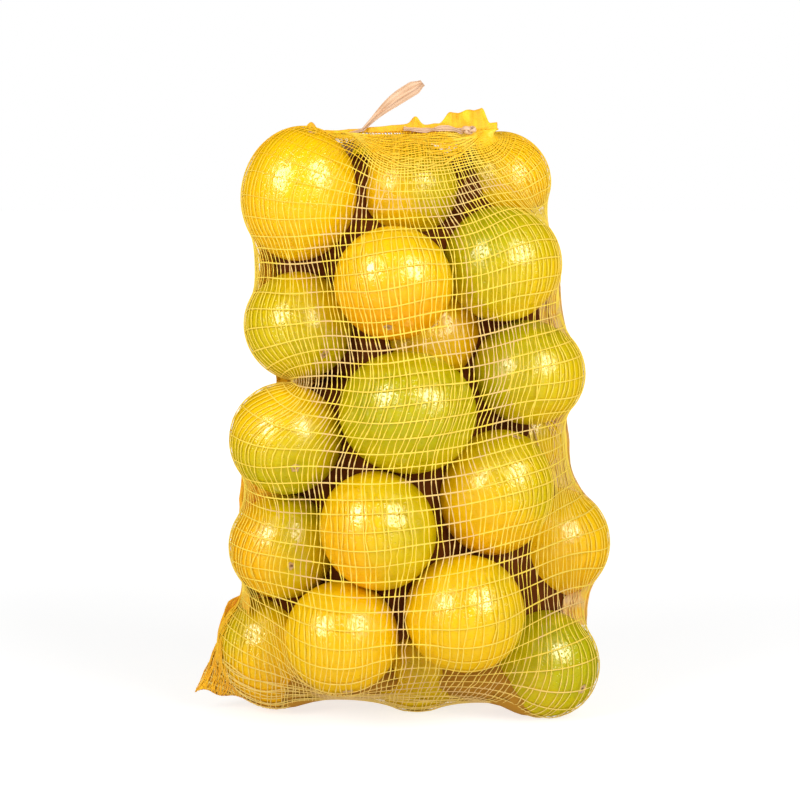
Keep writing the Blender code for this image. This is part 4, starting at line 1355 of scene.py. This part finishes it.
def make_tails(height, finish):
    """The thin end of tape beside the loop, and the turn of it that pinches the net."""
    front = float(hem_line(np.array(LOOP_BASE))) - HEM_THICK / 2 - TAPE_THICK * 2
    loop_foot = float(height(LOOP_BASE, front)) + LOOP_LIFT + 0.0012
    x, z = TAIL_START
    narrow_tape("drawstring_tail", ((x - 0.004, front + 0.001, z - 0.0022), (x, front, z),
                                    (x + 0.006, front - 0.0006, z + 0.0014),
                                    (LOOP_BASE + 0.001, front - 0.0006, loop_foot)), 0.0019, finish)
    x, z = PINCH_FOOT
    for number, lean in enumerate((-0.0016, 0.0003, 0.0021)):
        narrow_tape("drawstring_pinch_%d" % number,
                    ((x + lean * 2.2, front - 0.0005, TAIL_START[1] - 0.002),
                     (x + lean * 1.3, front - 0.0022, (TAIL_START[1] + z) / 2),
                     (x + lean * 0.6, front - 0.0042, z + 0.001),
                     (x + lean * 0.2, front - 0.0046, z - 0.0022)), 0.0017, finish)


# ---- studio --------------------------------------------------------------------------------------
def place_aimed(name, data, turn, rise, distance):
    """Put a camera or a lamp around the bag, turned to the middle of the picture."""
    turn, rise = math.radians(turn), math.radians(rise)
    flat = math.cos(rise)
    direction = Vector((math.sin(turn) * flat, -math.cos(turn) * flat, math.sin(rise)))
    placed = bpy.data.objects.new(name, data)
    placed.location = Vector(CAMERA_TARGET) + distance * direction
    placed.rotation_euler = (-direction).to_track_quat("-Z", "Y").to_euler()
    bpy.context.scene.collection.objects.link(placed)
    return placed


def add_studio():
    """The camera at the photo's angle, two soft boxes, light from all around, and the floor."""
    scene = bpy.context.scene
    scene.view_settings.view_transform = "Standard"
    camera = bpy.data.cameras.new("camera")
    camera.lens = CAMERA_LENS
    scene.camera = place_aimed("camera", camera, 0.0, CAMERA_RISE, CAMERA_DISTANCE)
    for name, (turn, rise), (wide, tall), power in SOFTBOXES:
        light = bpy.data.lights.new(name, "AREA")
        light.shape = "ELLIPSE"
        light.size, light.size_y = wide, tall
        light.energy = power
        place_aimed(name, light, turn, rise, SOFTBOX_DISTANCE)
    scene.world = room_light()
    scene.world.cycles_visibility.glossy = False
    add_floor()


def room_light():
    """Soft light from all around, which the camera sees as plain white."""
    world = bpy.data.worlds.new("room")
    world.use_nodes = True
    tree = world.node_tree
    background = tree.nodes["Background"]
    background.inputs["Color"].default_value = (1, 1, 1, 1)
    seen = tree.nodes.new("ShaderNodeLightPath").outputs["Is Camera Ray"]
    strength = tree.nodes.new("ShaderNodeMapRange")
    strength.inputs["To Min"].default_value = ROOM_LIGHT
    strength.inputs["To Max"].default_value = 1.0
    tree.links.new(seen, strength.inputs["Value"])
    tree.links.new(strength.outputs["Result"], background.inputs["Strength"])
    return world


def floor_finish():
    """A plain white finish with a glow of its own, which grows away from the bag."""
    nodes = Nodes("floor_white")
    nodes.settings(Base_Color=(FLOOR_SHADE, FLOOR_SHADE, FLOOR_SHADE, 1), Roughness=0.8,
                   Specular_IOR_Level=0.0, Emission_Color=(1, 1, 1, 1))
    length = nodes.tree.nodes.new("ShaderNodeVectorMath")
    length.operation = "LENGTH"
    nodes.link(nodes.place(), length.inputs[0])
    glow = nodes.ramp(length.outputs["Value"], *FLOOR_GLOW_REACH, *FLOOR_GLOW)
    nodes.link(glow, nodes.shader.inputs["Emission Strength"])
    return nodes.material


def add_floor():
    """A pale round floor, which the peel doesn't mirror."""
    cage = bmesh.new()
    bmesh.ops.create_circle(cage, cap_ends=True, segments=96, radius=FLOOR_RADIUS)
    mesh = bpy.data.meshes.new("floor")
    cage.to_mesh(mesh)
    cage.free()
    mesh.materials.append(floor_finish())
    floor = bpy.data.objects.new("floor", mesh)
    bpy.context.scene.collection.objects.link(floor)
    floor.visible_glossy = False


# ---- the bag ----------------------------------------------------------------------------------
def main():
    """Lay out the fruit, stretch the net over them, and dress the bag and its mouth."""
    middle, across, along, axis, placed = lay_out_fruit()
    middle = settle_fruit(middle, across, along, axis, placed)
    middle[PEEPING_FRUIT] += PEEPING_SHIFT
    for fruit in STEM_BEHIND:
        axis[fruit] = -axis[fruit]
    held, maps = with_ear(middle, across, along, axis, THREAD_LIFT)
    net = Net(held, maps)
    threads = thread_finish()
    folds = fold_finish("net_folds", FOLD_YELLOW, FOLD_ORANGE)
    beige = fold_finish("net_folds_beige", FOLD_BEIGE, FOLD_YELLOW)
    pieces = [make_oranges(middle, across, along, axis), make_scars(middle, across, along, axis),
              make_shade_core(net), *make_warps(net, threads), make_wefts(net, threads),
              make_neck(net, threads), make_seam(net, threads), make_neck_folds(net, folds),
              make_selvage("net_fold_left", net, -1, FOLD_LEFT, folds),
              make_selvage("net_fold_right", net, 1, FOLD_RIGHT, beige), make_corner(net, folds)]
    for piece in pieces:
        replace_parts(piece, "net_bag")
    height = net.top()
    tape = tape_finish()
    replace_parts(make_hem(height, fold_finish("hem_folds", HEM_YELLOW, FOLD_ORANGE)), "mouth_hem")
    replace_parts(make_run(height, tape), "drawstring_run")
    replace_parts(make_knot(height, tape), "drawstring_knot")
    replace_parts(make_loop(height, tape), "drawstring_loop")
    make_tails(height, tape)
    add_studio()


main()
